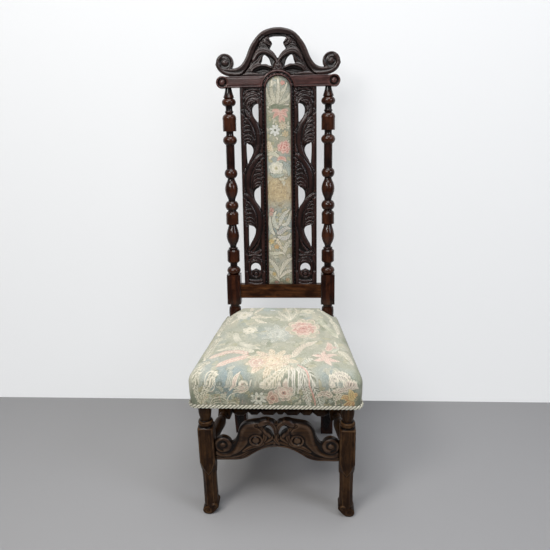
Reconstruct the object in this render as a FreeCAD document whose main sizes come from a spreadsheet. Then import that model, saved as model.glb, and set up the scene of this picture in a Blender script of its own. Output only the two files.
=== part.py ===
import FreeCAD, Part
import math
import os
import Sketcher

# Tall carved side chair with turned posts, a stuffed seat and a stuffed strip in the back.
# Millimetres. X is across the chair, the front faces -Y, Z is up and the floor is Z = 0.

os.makedirs("parts", exist_ok=True)
doc = FreeCAD.newDocument("tall_back_chair")
sheet = doc.addObject("Spreadsheet::Sheet", "Sizes")

driving_sizes = [
    # places
    ("toe_line", -249, "front of the front feet, along Y"),
    ("seat_line", 451, "height where the back starts to lean"),
    ("seat_line_depth", 378, "from the toe line back to the post axis at the seat line"),
    ("back_rake", 7.94, "lean of the back, degrees"),
    ("fit_gap", 0.3, "room round a tenon, a peg or a soft layer"),
    ("overrun", 3, "how far a cutting solid passes the face it cuts"),
    # rear posts and rear legs
    ("post_stand", 33.5, "from the outer edge of a splat to the post axis"),
    ("post_block_width", 42, "square block that takes the lower back rail"),
    ("post_block_base", 44, "block underside above the seat line, along the post"),
    ("post_block_height", 93, "height of that block"),
    ("post_chamfer", 3, "worn corners of blocks and legs"),
    ("post_ball_diameter", 41, "largest ball of the turning"),
    ("post_turning_length", 557, "from the block to the crest rail"),
    ("post_cup_diameter", 36, "cup between the block and the seat"),
    ("post_tenon_diameter", 16, "round tenon in the crest rail"),
    ("post_tenon_length", 22, "length of that tenon"),
    ("rear_leg_width", 40, "square rear leg"),
    ("rear_leg_top", 446, "top of the square rear leg"),
    ("rear_leg_bend", 250, "height where the rear leg starts to sweep back"),
    ("rear_leg_sweep", 39, "how far the foot stands behind the seat line"),
    ("rear_leg_bow", 8, "hollow of the sweep"),
    # seat frame
    ("seat_underside", 361, "underside of the seat rails"),
    ("seat_rail_height", 66, "height of the seat rails"),
    ("front_rail_overhang", 6, "front rail face in front of the toe line"),
    ("front_rail_depth", 44, "thickness of the front rail"),
    ("front_rail_width", 450, "length of the front rail"),
    ("side_rail_thickness", 28, "thickness of a side rail"),
    ("side_rail_rear_stand", 26.3, "outer face of a side rail outside the post axis, at the rear"),
    ("rear_rail_thickness", 24, "thickness of the rear seat rail"),
    ("tenon_thickness", 10, "flat tenons"),
    ("tenon_length", 22, "flat tenons"),
    ("tenon_shoulder", 9, "shoulder above and below a flat tenon"),
    ("socket_wall", 2, "wood between a leg's socket and the side rail's tenon"),
    ("corner_block_leg", 48, "short sides of a glued corner block"),
    ("corner_block_height", 42, "height of a corner block"),
    # front legs
    ("front_leg_inset", 33, "leg axis inside the end of the front rail"),
    ("front_leg_axis_depth", 20, "leg axis behind the toe line"),
    ("barrel_diameter", 36, "turned barrel under the seat"),
    ("collar_diameter", 42, "ring under the barrel"),
    ("collar_top", 307, "top of that ring"),
    ("collar_height", 14, "height of that ring"),
    ("leg_block_width", 43, "square block of the front leg"),
    ("leg_block_top", 288, "top of the block"),
    ("leg_block_height", 110, "straight height of the block"),
    ("leg_drop", 38, "rounded point that hangs below the block"),
    ("leg_drop_thickness", 20, "thickness of that point"),
    ("leg_shaft_width", 38, "eight sided lower shaft"),
    ("leg_shaft_inset", 1, "shaft axis inside the block axis"),
    ("leg_shaft_facet", 9, "cut corners of the shaft"),
    ("leg_shaft_top", 181, "top of the lower shaft, inside the block"),
    ("leg_shaft_base", 24, "foot of the lower shaft"),
    ("toe_scroll_diameter", 29, "outer scroll of the foot"),
    ("toe_scroll_small", 23, "inner scroll of the foot"),
    ("toe_scroll_length", 38, "length of the foot scrolls, front to back"),
    ("toe_scroll_spread", 25, "between the two scrolls of a foot"),
    ("leg_tenon_diameter", 14, "round tenon in the front rail"),
    ("leg_tenon_length", 38, "length of that tenon"),
    # stretchers
    ("front_stretcher_base", 180, "underside of the front stretcher at the legs"),
    ("front_stretcher_height", 133, "height of the front stretcher at the middle"),
    ("front_stretcher_thickness", 20, "board of the front stretcher"),
    ("front_stretcher_setback", 8, "behind the toe line"),
    ("front_scroll_diameter", 46, "outer scroll of the front stretcher"),
    ("front_scroll_inset", 23, "scroll centre inside the leg"),
    ("front_scroll_rise", 50, "scroll centre above the stretcher's underside"),
    ("inner_scroll_diameter", 27, "inner scroll of the front stretcher"),
    ("inner_scroll_spacing", 113, "between the two inner scrolls"),
    ("inner_scroll_rise", 67, "inner scroll centre above the stretcher's underside"),
    ("carving_depth", 5, "how deep scrolls and leafwork are sunk"),
    ("front_stretcher_tenon_height", 30, "height of its tenons"),
    ("side_stretcher_height", 212, "height of the side stretcher axis"),
    ("side_stretcher_front_offset", 4, "inside the axis of the front leg"),
    ("side_stretcher_rear_offset", 3, "outside the axis of the rear leg"),
    ("side_stretcher_bulb", 33, "largest diameter of the turning"),
    ("side_stretcher_block", 38, "square block that takes the cross stretcher"),
    ("side_stretcher_block_length", 46, "length of that block"),
    ("cross_stretcher_depth", 217, "cross stretcher axis behind the toe line"),
    ("cross_stretcher_bulb", 38, "largest diameter of the turning"),
    ("stretcher_tenon_diameter", 15, "round tenons of the turned stretchers"),
    ("stretcher_tenon_length", 17, "length of those tenons"),
    ("rear_stretcher_base", 262, "underside of the rear stretcher"),
    ("rear_stretcher_height", 36, "height of the rear stretcher"),
    ("rear_stretcher_thickness", 20, "thickness of the rear stretcher"),
    ("peg_diameter", 6, "draw pegs of the front stretcher"),
    ("peg_length", 24, "length of a draw peg"),
    ("peg_spacing", 20, "between the two pegs of a joint"),
    # back
    ("lower_rail_base", 63, "lower back rail above the seat line, along the back"),
    ("lower_rail_height", 43, "height of the lower back rail"),
    ("lower_rail_thickness", 24, "thickness of the lower back rail"),
    ("crest_rail_end", 34.5, "end of the crest rail outside the post axis"),
    ("crest_rail_height", 32, "height of the crest rail"),
    ("crest_rail_thickness", 30, "thickness of the crest rail"),
    ("crest_hump_radius", 50, "arched hump over the stuffed strip"),
    ("splat_outer_width", 224, "over both carved splats"),
    ("splat_thickness", 16, "thickness of a splat"),
    ("splat_setback", 5, "splat face behind the crest rail face"),
    ("splat_edge_width", 16, "plain outer strip of a splat"),
    ("splat_border_width", 21, "inner border of a splat beside the stuffed strip"),
    ("splat_tongue", 8, "tongue of a splat in the rails"),
    ("opening_width", 19, "bulge of a pierced opening"),
    ("dome_width", 28, "domed opening at the foot of a splat"),
    ("rebate_width", 8, "rebate that holds the panel board"),
    ("panel_board_thickness", 5, "thin board behind the stuffed strip"),
    ("back_pad_width", 72, "stuffed strip in the back"),
    ("back_pad_edge", 5, "side height of the stuffed strip"),
    ("back_pad_crown", 16, "height of the stuffed strip over its board"),
    ("cloth_thickness", 2, "tapestry cover with its lining"),
    # cresting
    ("cresting_end_inset", 0.5, "volute inside the end of the crest rail"),
    ("cresting_height", 133, "above the crest rail"),
    ("cresting_thickness", 22, "thickness of the cresting"),
    ("cresting_setback", 4, "cresting face behind the crest rail face"),
    ("volute_diameter", 52, "volutes at the ends of the arch"),
    ("volute_rise", 38, "volute centre above the crest rail"),
    ("volute_sink", 7, "hollow of a volute round its eye"),
    ("volute_eye", 19, "eye of a volute"),
    ("dowel_diameter", 8, "dowels between crest rail and cresting"),
    ("dowel_length", 30, "length of such a dowel"),
    ("dowel_stand", 13, "from the edge of a splat out to the dowel's axis"),
    # seat upholstery
    ("web_width", 50, "webbing strip"),
    ("web_thickness", 1.4, "webbing strip"),
    ("web_spacing", 92, "between webbing strips"),
    ("hessian_thickness", 1, "canvas over the webbing"),
    ("seat_crown_height", 477, "top of the seat above the floor"),
    ("seat_front_radius", 24, "front corners of the seat in plan"),
    ("seat_rear_radius", 10, "rear corners of the seat in plan"),
    ("cover_stand", 2.3, "face of the cover outside the seat rails"),
    ("cover_bulge", 3, "how far the sides of the seat swell"),
    ("braid_height", 9, "braid round the foot of the cover"),
    ("braid_thickness", 2.6, "thickness of the braid"),
    ("post_room", 1.2, "room that the cover leaves round a post"),
]
for row, (alias, value, note) in enumerate(driving_sizes, start=1):
    sheet.set(f"A{row}", alias)
    sheet.set(f"B{row}", str(value))
    sheet.setAlias(f"B{row}", alias)
    sheet.set(f"C{row}", note)
doc.recompute()


class Size:
    """A length with the sheet formula that gives it."""

    def __init__(self, value, formula):
        self.value = float(value)
        self.formula = formula

    @staticmethod
    def of(other):
        if isinstance(other, Size):
            return other
        return Size(other, repr(float(other)))

    def joined(self, other, value, sign):
        return Size(value, f"({self.formula} {sign} {Size.of(other).formula})")

    def __add__(self, other):
        return self.joined(other, self.value + Size.of(other).value, "+")

    def __sub__(self, other):
        return self.joined(other, self.value - Size.of(other).value, "-")

    def __mul__(self, other):
        return self.joined(other, self.value * Size.of(other).value, "*")

    def __truediv__(self, other):
        return self.joined(other, self.value / Size.of(other).value, "/")

    def __radd__(self, other):
        return Size.of(other) + self

    def __rsub__(self, other):
        return Size.of(other) - self

    def __rmul__(self, other):
        return Size.of(other) * self

    def __neg__(self):
        return Size.of(0) - self

    def __float__(self):
        return self.value


size = {alias: Size(value, f"Sizes.{alias}") for alias, value, note in driving_sizes}
zero = Size.of(0)
gap = size["fit_gap"]
over = size["overrun"]
nodes = []
left, right = -1, 1


def vector(x, y, z):
    return FreeCAD.Vector(float(x), float(y), float(z))


def bind(thing, prop, amount):
    thing.setExpression(prop, Size.of(amount).formula)


def keep(thing, label):
    """Marks a finished piece: its label names its node."""
    thing.Label = label
    nodes.append(thing)
    return thing


# Sketches whose every point is tied to the sheet

def pin(sketch, geometry, end, x, y):
    for axis, amount in (("DistanceX", x), ("DistanceY", y)):
        amount = Size.of(amount)
        number = sketch.addConstraint(Sketcher.Constraint(axis, -1, 1, geometry, end, amount.value))
        sketch.setExpression(f"Constraints[{number}]", amount.formula)


def draw(sketch, points):
    """Closed outline of straight runs through (x, y) points."""
    for here, after in zip(points, points[1:] + points[:1]):
        number = sketch.addGeometry(Part.LineSegment(vector(*here, 0), vector(*after, 0)), False)
        pin(sketch, number, 1, *here)
        pin(sketch, number, 2, *after)


def circle(sketch, x, y, diameter):
    diameter = Size.of(diameter)
    shape = Part.Circle(vector(x, y, 0), FreeCAD.Vector(0, 0, 1), diameter.value / 2)
    number = sketch.addGeometry(shape, False)
    pin(sketch, number, 3, x, y)
    number = sketch.addConstraint(Sketcher.Constraint("Diameter", number, diameter.value))
    sketch.setExpression(f"Constraints[{number}]", diameter.formula)


def new_sketch(body, plane, name, offset=zero):
    sketch = body.newObject("Sketcher::SketchObject", name)
    support = [feature for feature in body.Origin.OriginFeatures if feature.Role == plane][0]
    sketch.AttachmentSupport = [(support, "")]
    sketch.MapMode = "FlatFace"
    bind(sketch, ".AttachmentOffset.Base.z", offset)
    return sketch


def new_body(name):
    return doc.addObject("PartDesign::Body", name)


def pad(body, name, plane, outlines, start, length, circles=()):
    """Outline drawn on a plane of the body, from start along the plane's normal for length."""
    sketch = new_sketch(body, plane, name + "_outline", start)
    for points in outlines:
        draw(sketch, points)
    for place in circles:
        circle(sketch, *place)
    feature = body.newObject("PartDesign::Pad", name)
    feature.Profile = sketch
    bind(feature, "Length", length)
    return feature


def edges_of(points, place):
    """Lines and arcs through (x, y, bow) points, each point put in space by place(x, y)."""
    edges = []
    for here, after in zip(points, points[1:] + points[:1]):
        bow = float(here[2]) if len(here) > 2 else 0.0
        start, end = (float(here[0]), float(here[1])), (float(after[0]), float(after[1]))
        run = math.dist(start, end)
        if run < 1e-6:
            continue
        if abs(bow) < 1e-6:
            edges.append(Part.LineSegment(place(*start), place(*end)).toShape())
            continue
        middle = ((start[0] + end[0]) / 2 - (end[1] - start[1]) / run * bow,
                  (start[1] + end[1]) / 2 + (end[0] - start[0]) / run * bow)
        edges.append(Part.Arc(place(*start), place(*middle), place(*end)).toShape())
    return edges


def slab(name, points, plane, start, length):
    """Plate of a bowed outline, drawn on the XZ or YZ plane, from start along Y or X for length."""
    start, length = float(start), float(length)
    if plane == "XZ":
        face = Part.Face(Part.Wire(edges_of(points, lambda x, y: vector(x, start, y))))
        return shape(name, face.extrude(vector(0, length, 0)))
    face = Part.Face(Part.Wire(edges_of(points, lambda x, y: vector(start, x, y))))
    return shape(name, face.extrude(vector(length, 0, 0)))


def lathe(name, points):
    """Turned piece about Z from its half section of (radius, height, bow) points."""
    section = Part.Face(Part.Wire(edges_of(points, lambda x, y: vector(x, 0, y))))
    return shape(name, section.revolve(vector(0, 0, 0), vector(0, 0, 1), 360))


def box(name, x, y, z):
    """Box between two values on each axis."""
    thing = doc.addObject("Part::Box", name)
    for prop, place, (low, high) in (("Length", "x", x), ("Width", "y", y), ("Height", "z", z)):
        bind(thing, prop, Size.of(high) - low)
        bind(thing, f".Placement.Base.{place}", low)
    return thing


def rod(name, diameter, length, base, direction):
    """Cylinder from base along a direction."""
    thing = doc.addObject("Part::Cylinder", name)
    bind(thing, "Radius", Size.of(diameter) / 2)
    bind(thing, "Height", length)
    thing.Placement.Rotation = FreeCAD.Rotation(FreeCAD.Vector(0, 0, 1), vector(*direction))
    for place, amount in zip("xyz", base):
        bind(thing, f".Placement.Base.{place}", amount)
    return thing


def fuse(name, pieces):
    thing = doc.addObject("Part::MultiFuse", name)
    thing.Shapes = list(pieces)
    return thing


def cut(name, base, tools):
    thing = doc.addObject("Part::Cut", name)
    thing.Base = base
    thing.Tool = tools[0] if len(tools) == 1 else fuse(name + "_cuts", tools)
    return thing


def shape(name, solid):
    """A piece whose form needs curves of its own."""
    thing = doc.addObject("Part::Feature", name)
    thing.Shape = solid
    return thing


# The back's own frame: origin on the seat line, local Z up along the back, local Y to the rear

axis_depth = size["toe_line"] + size["seat_line_depth"]
rake = math.radians(size["back_rake"].value)


def lean(thing, x=zero):
    """Stands a piece made in the back's frame in its place."""
    thing.Placement.Rotation = FreeCAD.Rotation(FreeCAD.Vector(1, 0, 0), -size["back_rake"].value)
    for place, amount in (("x", x), ("y", axis_depth), ("z", size["seat_line"])):
        bind(thing, f".Placement.Base.{place}", amount)
    return thing


def in_back(depth, height):
    """A point of the chair, given by its depth and height, in the back's frame."""
    away, up = Size.of(depth) - axis_depth, Size.of(height) - size["seat_line"]
    return away * math.cos(rake) - up * math.sin(rake), away * math.sin(rake) + up * math.cos(rake)


crest_base = size["post_block_base"] + size["post_block_height"] + size["post_turning_length"]
crest_top = crest_base + size["crest_rail_height"]
crest_face = -size["crest_rail_thickness"] / 2
splat_face = crest_face + size["splat_setback"]
splat_back = splat_face + size["splat_thickness"]
lower_rail_top = size["lower_rail_base"] + size["lower_rail_height"]
pad_seat = splat_face + size["splat_thickness"] - size["panel_board_thickness"] - size["cloth_thickness"]
arch_centre = crest_top - size["back_pad_width"] / 2
dowel_x = size["splat_outer_width"] / 2 + size["dowel_stand"]
post_x = size["splat_outer_width"] / 2 + size["post_stand"]
crest_half = post_x + size["crest_rail_end"]
cresting_half = crest_half - size["cresting_end_inset"]
leg_x = size["front_rail_width"] / 2 - size["front_leg_inset"]
leg_y = size["toe_line"] + size["front_leg_axis_depth"]
rail_base, rail_top = size["seat_underside"], size["seat_underside"] + size["seat_rail_height"]
rail_front = size["toe_line"] - size["front_rail_overhang"]
rail_inner = rail_front + size["front_rail_depth"]
post_front = axis_depth - size["rear_leg_width"] / 2
side_rail_slope = (size["front_rail_width"] / 2 - post_x - size["side_rail_rear_stand"]) / (post_front - rail_front)


# Turned work: rows of (share of the length, share of the largest radius, swell of the run after it)

post_turning_shares = [
    (0.000, 0.66, 0), (0.003, 0.72, -0.30), (0.042, 0.72, 0), (0.046, 0.56, 0.02), (0.064, 0.56, 0),
    (0.068, 0.78, 0), (0.076, 0.94, 0), (0.132, 0.94, 0), (0.140, 0.78, 0), (0.141, 0.60, 0),
    (0.143, 0.62, -0.08), (0.152, 0.62, 0), (0.155, 0.47, 0), (0.160, 0.47, 0.03), (0.182, 0.74, -0.03),
    (0.212, 0.95, -0.04), (0.250, 0.80, 0.02), (0.276, 0.60, 0), (0.281, 0.60, 0), (0.282, 0.92, 0),
    (0.328, 0.92, -0.13), (0.354, 0.62, 0), (0.358, 0.60, 0), (0.359, 0.68, -0.30), (0.407, 0.68, 0),
    (0.409, 0.52, 0), (0.416, 0.52, 0.02), (0.440, 0.78, -0.03), (0.473, 0.96, -0.04), (0.506, 0.76, 0.02),
    (0.526, 0.52, 0), (0.532, 0.52, 0), (0.534, 0.66, -0.29), (0.580, 0.66, 0), (0.582, 0.62, 0),
    (0.708, 0.62, 0), (0.711, 0.72, -0.30), (0.753, 0.72, 0), (0.756, 0.57, 0.03), (0.778, 0.55, 0),
    (0.779, 0.97, 0), (0.838, 0.97, -0.16), (0.868, 0.62, 0), (0.870, 0.50, 0), (0.873, 0.55, -0.06),
    (0.884, 0.55, 0), (0.886, 0.50, 0.02), (0.907, 0.51, 0), (0.909, 0.68, -0.32), (0.947, 0.68, 0),
    (0.949, 0.62, 0), (0.952, 0.79, 0.04), (1.000, 0.43, 0),
]
side_stretcher_shares = [
    (0.00, 0.60, 0), (0.05, 0.76, 0), (0.08, 0.56, 0), (0.16, 0.76, 0), (0.62, 1.00, -0.12), (0.84, 0.62, 0),
    (0.88, 0.74, 0), (0.95, 0.74, 0), (0.97, 0.56, 0), (1.00, 0.56, 0),
]
# The cross stretcher's rows end at its middle and are mirrored
cross_stretcher_shares = [
    (0.000, 0.62, 0), (0.040, 1.00, 0), (0.110, 1.00, 0), (0.160, 0.42, 0), (0.190, 0.86, 0), (0.255, 0.86, 0),
    (0.290, 0.42, 0), (0.325, 0.88, 0), (0.425, 0.88, 0), (0.457, 0.45, 0), (0.478, 0.78, 0),
]


def turned_profile(rows, base, length, diameter):
    """Half section from the axis out and back, base first. Swells are shares of the largest radius."""
    radius = Size.of(diameter) / 2
    points = [(radius * share, Size.of(base) + Size.of(length) * along, radius * swell)
              for along, share, swell in rows]
    return [(zero, base)] + points + [(zero, Size.of(base) + length)]


# Rear posts: turned above the seat, a block for the lower rail, and a square leg that sweeps back

def square_outline(width, chamfer):
    half, near = Size.of(width) / 2, Size.of(width) / 2 - chamfer
    return [(-near, -half), (near, -half), (half, -near), (half, near),
            (near, half), (-near, half), (-half, near), (-half, -near)]


def rear_post(side, label):
    body = new_body(label + "_body")
    block_top = size["post_block_base"] + size["post_block_height"]
    profile = turned_profile(post_turning_shares, block_top, size["post_turning_length"],
                             size["post_ball_diameter"])
    tenon = size["post_tenon_diameter"] / 2
    profile = profile[:-1] + [(tenon, crest_base), (tenon, crest_base + size["post_tenon_length"]),
                              (zero, crest_base + size["post_tenon_length"])]
    turning = lathe(label + "_turning", profile)
    pad(body, "block", "XY_Plane", [square_outline(size["post_block_width"], size["post_chamfer"])],
        size["post_block_base"], size["post_block_height"])
    cup = size["post_cup_diameter"] / 2
    low, high = in_back(axis_depth, size["rear_leg_top"])[1] - over, size["post_block_base"]
    rise = high - low
    neck = lathe(label + "_cup", [(zero, low), (cup * 0.9, low, -cup * 0.1), (cup, low + rise * 0.75),
                                  (cup * 0.8, low + rise * 0.8), (cup * 0.8, high), (zero, high)])
    half = size["rear_leg_width"] / 2
    sweep = axis_depth + size["rear_leg_sweep"]
    bow = size["rear_leg_bow"]
    leg = [in_back(axis_depth - half, size["rear_leg_top"]),
           in_back(axis_depth - half, size["rear_leg_bend"]) + (-bow,),
           in_back(sweep - half, zero),
           in_back(sweep + half, zero) + (bow,),
           in_back(axis_depth + half, size["rear_leg_bend"]),
           in_back(axis_depth + half, size["rear_leg_top"])]
    leg_body = slab(label + "_leg", leg, "YZ", -half, size["rear_leg_width"])
    inner = -side * size["post_block_width"] / 2
    mortise = box(label + "_lower_rail_mortise",
                  sorted((inner - side * over, inner + side * (size["tenon_length"] + gap)), key=float),
                  widened(lower_tenon_y), widened(lower_tenon_z))
    whole = fuse(label + "_whole", [turning, body, neck, leg_body])
    return lean(cut(label + "_leaning", whole, [mortise]), post_x * side)


def tenon_room(name, side, far, depth, height):
    """Mortise in a rear post for a tenon that comes from the middle of the chair."""
    reach = post_x - size["rear_leg_width"] / 2 - over
    return box(name, sorted((reach * side, far * side), key=float), depth, height)


rear_tenon_end = post_x - size["rear_leg_width"] / 2 + size["tenon_length"] - size["fit_gap"]
rear_rail_front = post_front
rear_rail_back = post_front + size["rear_rail_thickness"]
rear_tenon_y = (rear_rail_front + (size["rear_rail_thickness"] - size["tenon_thickness"]) / 2,
                rear_rail_front + (size["rear_rail_thickness"] + size["tenon_thickness"]) / 2)
flat_tenon_z = (rail_base + size["tenon_shoulder"], rail_top - size["tenon_shoulder"])
rear_stretcher_y = (axis_depth - size["rear_stretcher_thickness"] / 2,
                    axis_depth + size["rear_stretcher_thickness"] / 2)
rear_stretcher_z = (size["rear_stretcher_base"], size["rear_stretcher_base"] + size["rear_stretcher_height"])
rear_stretcher_tenon_y = (axis_depth - size["tenon_thickness"] / 2, axis_depth + size["tenon_thickness"] / 2)
rear_stretcher_tenon_z = (rear_stretcher_z[0] + size["tenon_shoulder"] / 2,
                          rear_stretcher_z[1] - size["tenon_shoulder"] / 2)
lower_rail_y = (-size["lower_rail_thickness"] / 2, size["lower_rail_thickness"] / 2)
lower_rail_z = (size["lower_rail_base"], lower_rail_top)
lower_tenon_y = (-size["tenon_thickness"] / 2, size["tenon_thickness"] / 2)
lower_tenon_z = (lower_rail_z[0] + size["tenon_shoulder"] / 2, lower_rail_z[1] - size["tenon_shoulder"] / 2)
block_inner = post_x - size["post_block_width"] / 2


def widened(pair):
    return pair[0] - gap, pair[1] + gap


def side_rail_x(depth):
    """Outer face of the side rails at a place along Y."""
    return size["front_rail_width"] / 2 - side_rail_slope * (Size.of(depth) - rail_front)


side_tenon_inner = leg_x + size["leg_tenon_diameter"] / 2 + size["socket_wall"]
side_tenon_front = (side_tenon_inner, side_tenon_inner + size["tenon_thickness"])
side_tenon_rear = (rear_tenon_end + gap * 4, rear_tenon_end + gap * 4 + size["tenon_thickness"])

# The side stretcher runs from the front leg's block to the rear leg, a little aslant in plan
side_front_y = leg_y + size["leg_block_width"] / 2
side_front_x = leg_x - size["side_stretcher_front_offset"]
side_rear_x = post_x + size["side_stretcher_rear_offset"]
side_run = post_front - side_front_y
side_slant = math.atan2(float(side_front_x - side_rear_x), float(side_run))


def across_pair(side, pair):
    return sorted((pair[0] * side, pair[1] * side), key=float)


def stretcher_direction(side):
    return side * (side_rear_x - side_front_x), side_run, zero


def stretcher_rod(name, side, start_y, length, diameter):
    """Cylinder along the side stretcher's axis, starting at a place along Y."""
    share = (start_y - side_front_y) / side_run
    base_x = (side_front_x + (side_rear_x - side_front_x) * share) * side
    return rod(name, diameter, length, (base_x, start_y, size["side_stretcher_height"]), stretcher_direction(side))


for side, label in ((left, "left_rear_post"), (right, "right_rear_post")):
    mortises = [
        tenon_room(label + "_rail_mortise", side, rear_tenon_end + gap, widened(rear_tenon_y), widened(flat_tenon_z)),
        tenon_room(label + "_stretcher_mortise", side, rear_tenon_end + gap, widened(rear_stretcher_tenon_y),
                   widened(rear_stretcher_tenon_z)),
        box(label + "_side_rail_mortise", across_pair(side, widened(side_tenon_rear)),
            (post_front - over, post_front + size["tenon_length"] + gap), widened(flat_tenon_z)),
        stretcher_rod(label + "_side_stretcher_hole", side, post_front - over,
                      over + size["stretcher_tenon_length"] + gap * 2, size["stretcher_tenon_diameter"] + gap * 2),
    ]
    keep(cut(label, rear_post(side, label), mortises), label)


# Seat rails

def tenoned_rail(label, half_length, rail_y, rail_z, tenon_y, tenon_z):
    """Rail across the chair with a flat tenon at each end."""
    reach = half_length + size["tenon_length"] - size["fit_gap"]
    pieces = [box(label + "_board", (-half_length, half_length), rail_y, rail_z),
              box(label + "_tenons", (-reach, reach), tenon_y, tenon_z)]
    return fuse(label, pieces)


inside_posts = post_x - size["rear_leg_width"] / 2
keep(tenoned_rail("rear_seat_rail", inside_posts, (rear_rail_front, rear_rail_back), (rail_base, rail_top),
                  rear_tenon_y, flat_tenon_z), "rear_seat_rail")
keep(tenoned_rail("rear_stretcher", inside_posts, rear_stretcher_y, rear_stretcher_z,
                  rear_stretcher_tenon_y, rear_stretcher_tenon_z), "rear_stretcher")

seat_rear = rear_rail_back


def seat_wire(side_stand, front_stand, rear_stand, height):
    """Rounded plan of the seat at a height, each face standing off its rail."""
    side_stand, front_stand, rear_stand = float(side_stand), float(front_stand), float(rear_stand)
    front, rear = float(rail_front) - front_stand, float(seat_rear) + rear_stand
    front_x, rear_x = float(side_rail_x(front)) + side_stand, float(side_rail_x(rear)) + side_stand
    front_round, rear_round = size["seat_front_radius"].value, size["seat_rear_radius"].value
    corners = [((-front_x, front), front_round), ((front_x, front), front_round),
               ((rear_x, rear), rear_round), ((-rear_x, rear), rear_round)]
    level = float(height)
    ends, edges = [], []
    for number, (corner, setback) in enumerate(corners):
        before, after = corners[number - 1][0], corners[(number + 1) % 4][0]
        here = FreeCAD.Vector(*corner, level)
        back = (FreeCAD.Vector(*before, level) - here).normalize()
        ahead = (FreeCAD.Vector(*after, level) - here).normalize()
        half_angle = math.acos(back.dot(ahead)) / 2
        bisector = (back + ahead).normalize()
        near = setback / math.cos(half_angle) - setback * math.tan(half_angle)
        ends.append((here + back * setback, here + bisector * near, here + ahead * setback))
    for number, (start, middle, end) in enumerate(ends):
        following = ends[(number + 1) % 4][0]
        edges += [Part.Arc(start, middle, end).toShape(), Part.LineSegment(end, following).toShape()]
    return Part.Wire(edges)


frame_block = Part.Face(seat_wire(0, 0, 0, rail_base)).extrude(vector(0, 0, size["seat_rail_height"]))
front_room = Part.makeBox(float(size["front_rail_width"] + over * 2), float(size["front_rail_depth"] + over),
                          float(size["seat_rail_height"] + over * 2),
                          vector(-size["front_rail_width"] / 2 - over, rail_front - over, rail_base - over))
front_board = shape("front_seat_rail_board", frame_block.common(front_room))
front_sockets = []
for side, name in ((left, "left"), (right, "right")):
    front_sockets.append(box(name + "_side_rail_socket", across_pair(side, widened(side_tenon_front)),
                             (rail_inner - size["tenon_length"] - gap, rail_inner + over), widened(flat_tenon_z)))
    front_sockets.append(rod(name + "_leg_socket", size["leg_tenon_diameter"] + gap * 2,
                             size["leg_tenon_length"] + gap + over, (leg_x * side, leg_y, rail_base - over), (0, 0, 1)))
keep(cut("front_seat_rail", front_board, front_sockets), "front_seat_rail")


def side_rail(side, label):
    body = new_body(label)
    thick = size["side_rail_thickness"]
    front_x, rear_x = side_rail_x(rail_inner), side_rail_x(post_front)
    board = [(front_x * side, rail_inner), (rear_x * side, post_front),
             ((rear_x - thick) * side, post_front), ((front_x - thick) * side, rail_inner)]
    pad(body, "board", "XY_Plane", [board], rail_base, size["seat_rail_height"])
    length = size["tenon_length"] - size["fit_gap"]
    for name, pair, root, end in (("front_tenon", side_tenon_front, rail_inner + over, rail_inner - length),
                                  ("rear_tenon", side_tenon_rear, post_front - over, post_front + length)):
        outline = [(pair[0] * side, root), (pair[1] * side, root), (pair[1] * side, end), (pair[0] * side, end)]
        pad(body, name, "XY_Plane", [outline], flat_tenon_z[0], flat_tenon_z[1] - flat_tenon_z[0])
    return body


for side, label in ((left, "left_seat_rail"), (right, "right_seat_rail")):
    keep(side_rail(side, label), label)


def corner_block(name, side, corner_y, away):
    """Glued triangle in a corner of the frame, along the side rail's inner face."""
    body = new_body(name)
    leg = size["corner_block_leg"]
    far_y = corner_y + leg * away
    inner, far_inner = (side_rail_x(place) - size["side_rail_thickness"] for place in (corner_y, far_y))
    outline = [(inner * side, corner_y), (far_inner * side, far_y), ((inner - leg) * side, corner_y)]
    pad(body, "wedge", "XY_Plane", [outline], rail_base + size["tenon_shoulder"], size["corner_block_height"])
    return body


corner_blocks = [corner_block(f"corner_block_{number}", side, corner_y, away)
                 for number, (side, corner_y, away) in enumerate(
                     [(left, rail_inner, 1), (right, rail_inner, 1), (left, post_front, -1), (right, post_front, -1)])]
group = doc.addObject("Part::Compound", "corner_blocks")
group.Links = corner_blocks
keep(group, "corner_blocks")


# Front legs: turned barrel and ring, a block with a rounded point, an eight sided shaft and a scrolled foot

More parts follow.
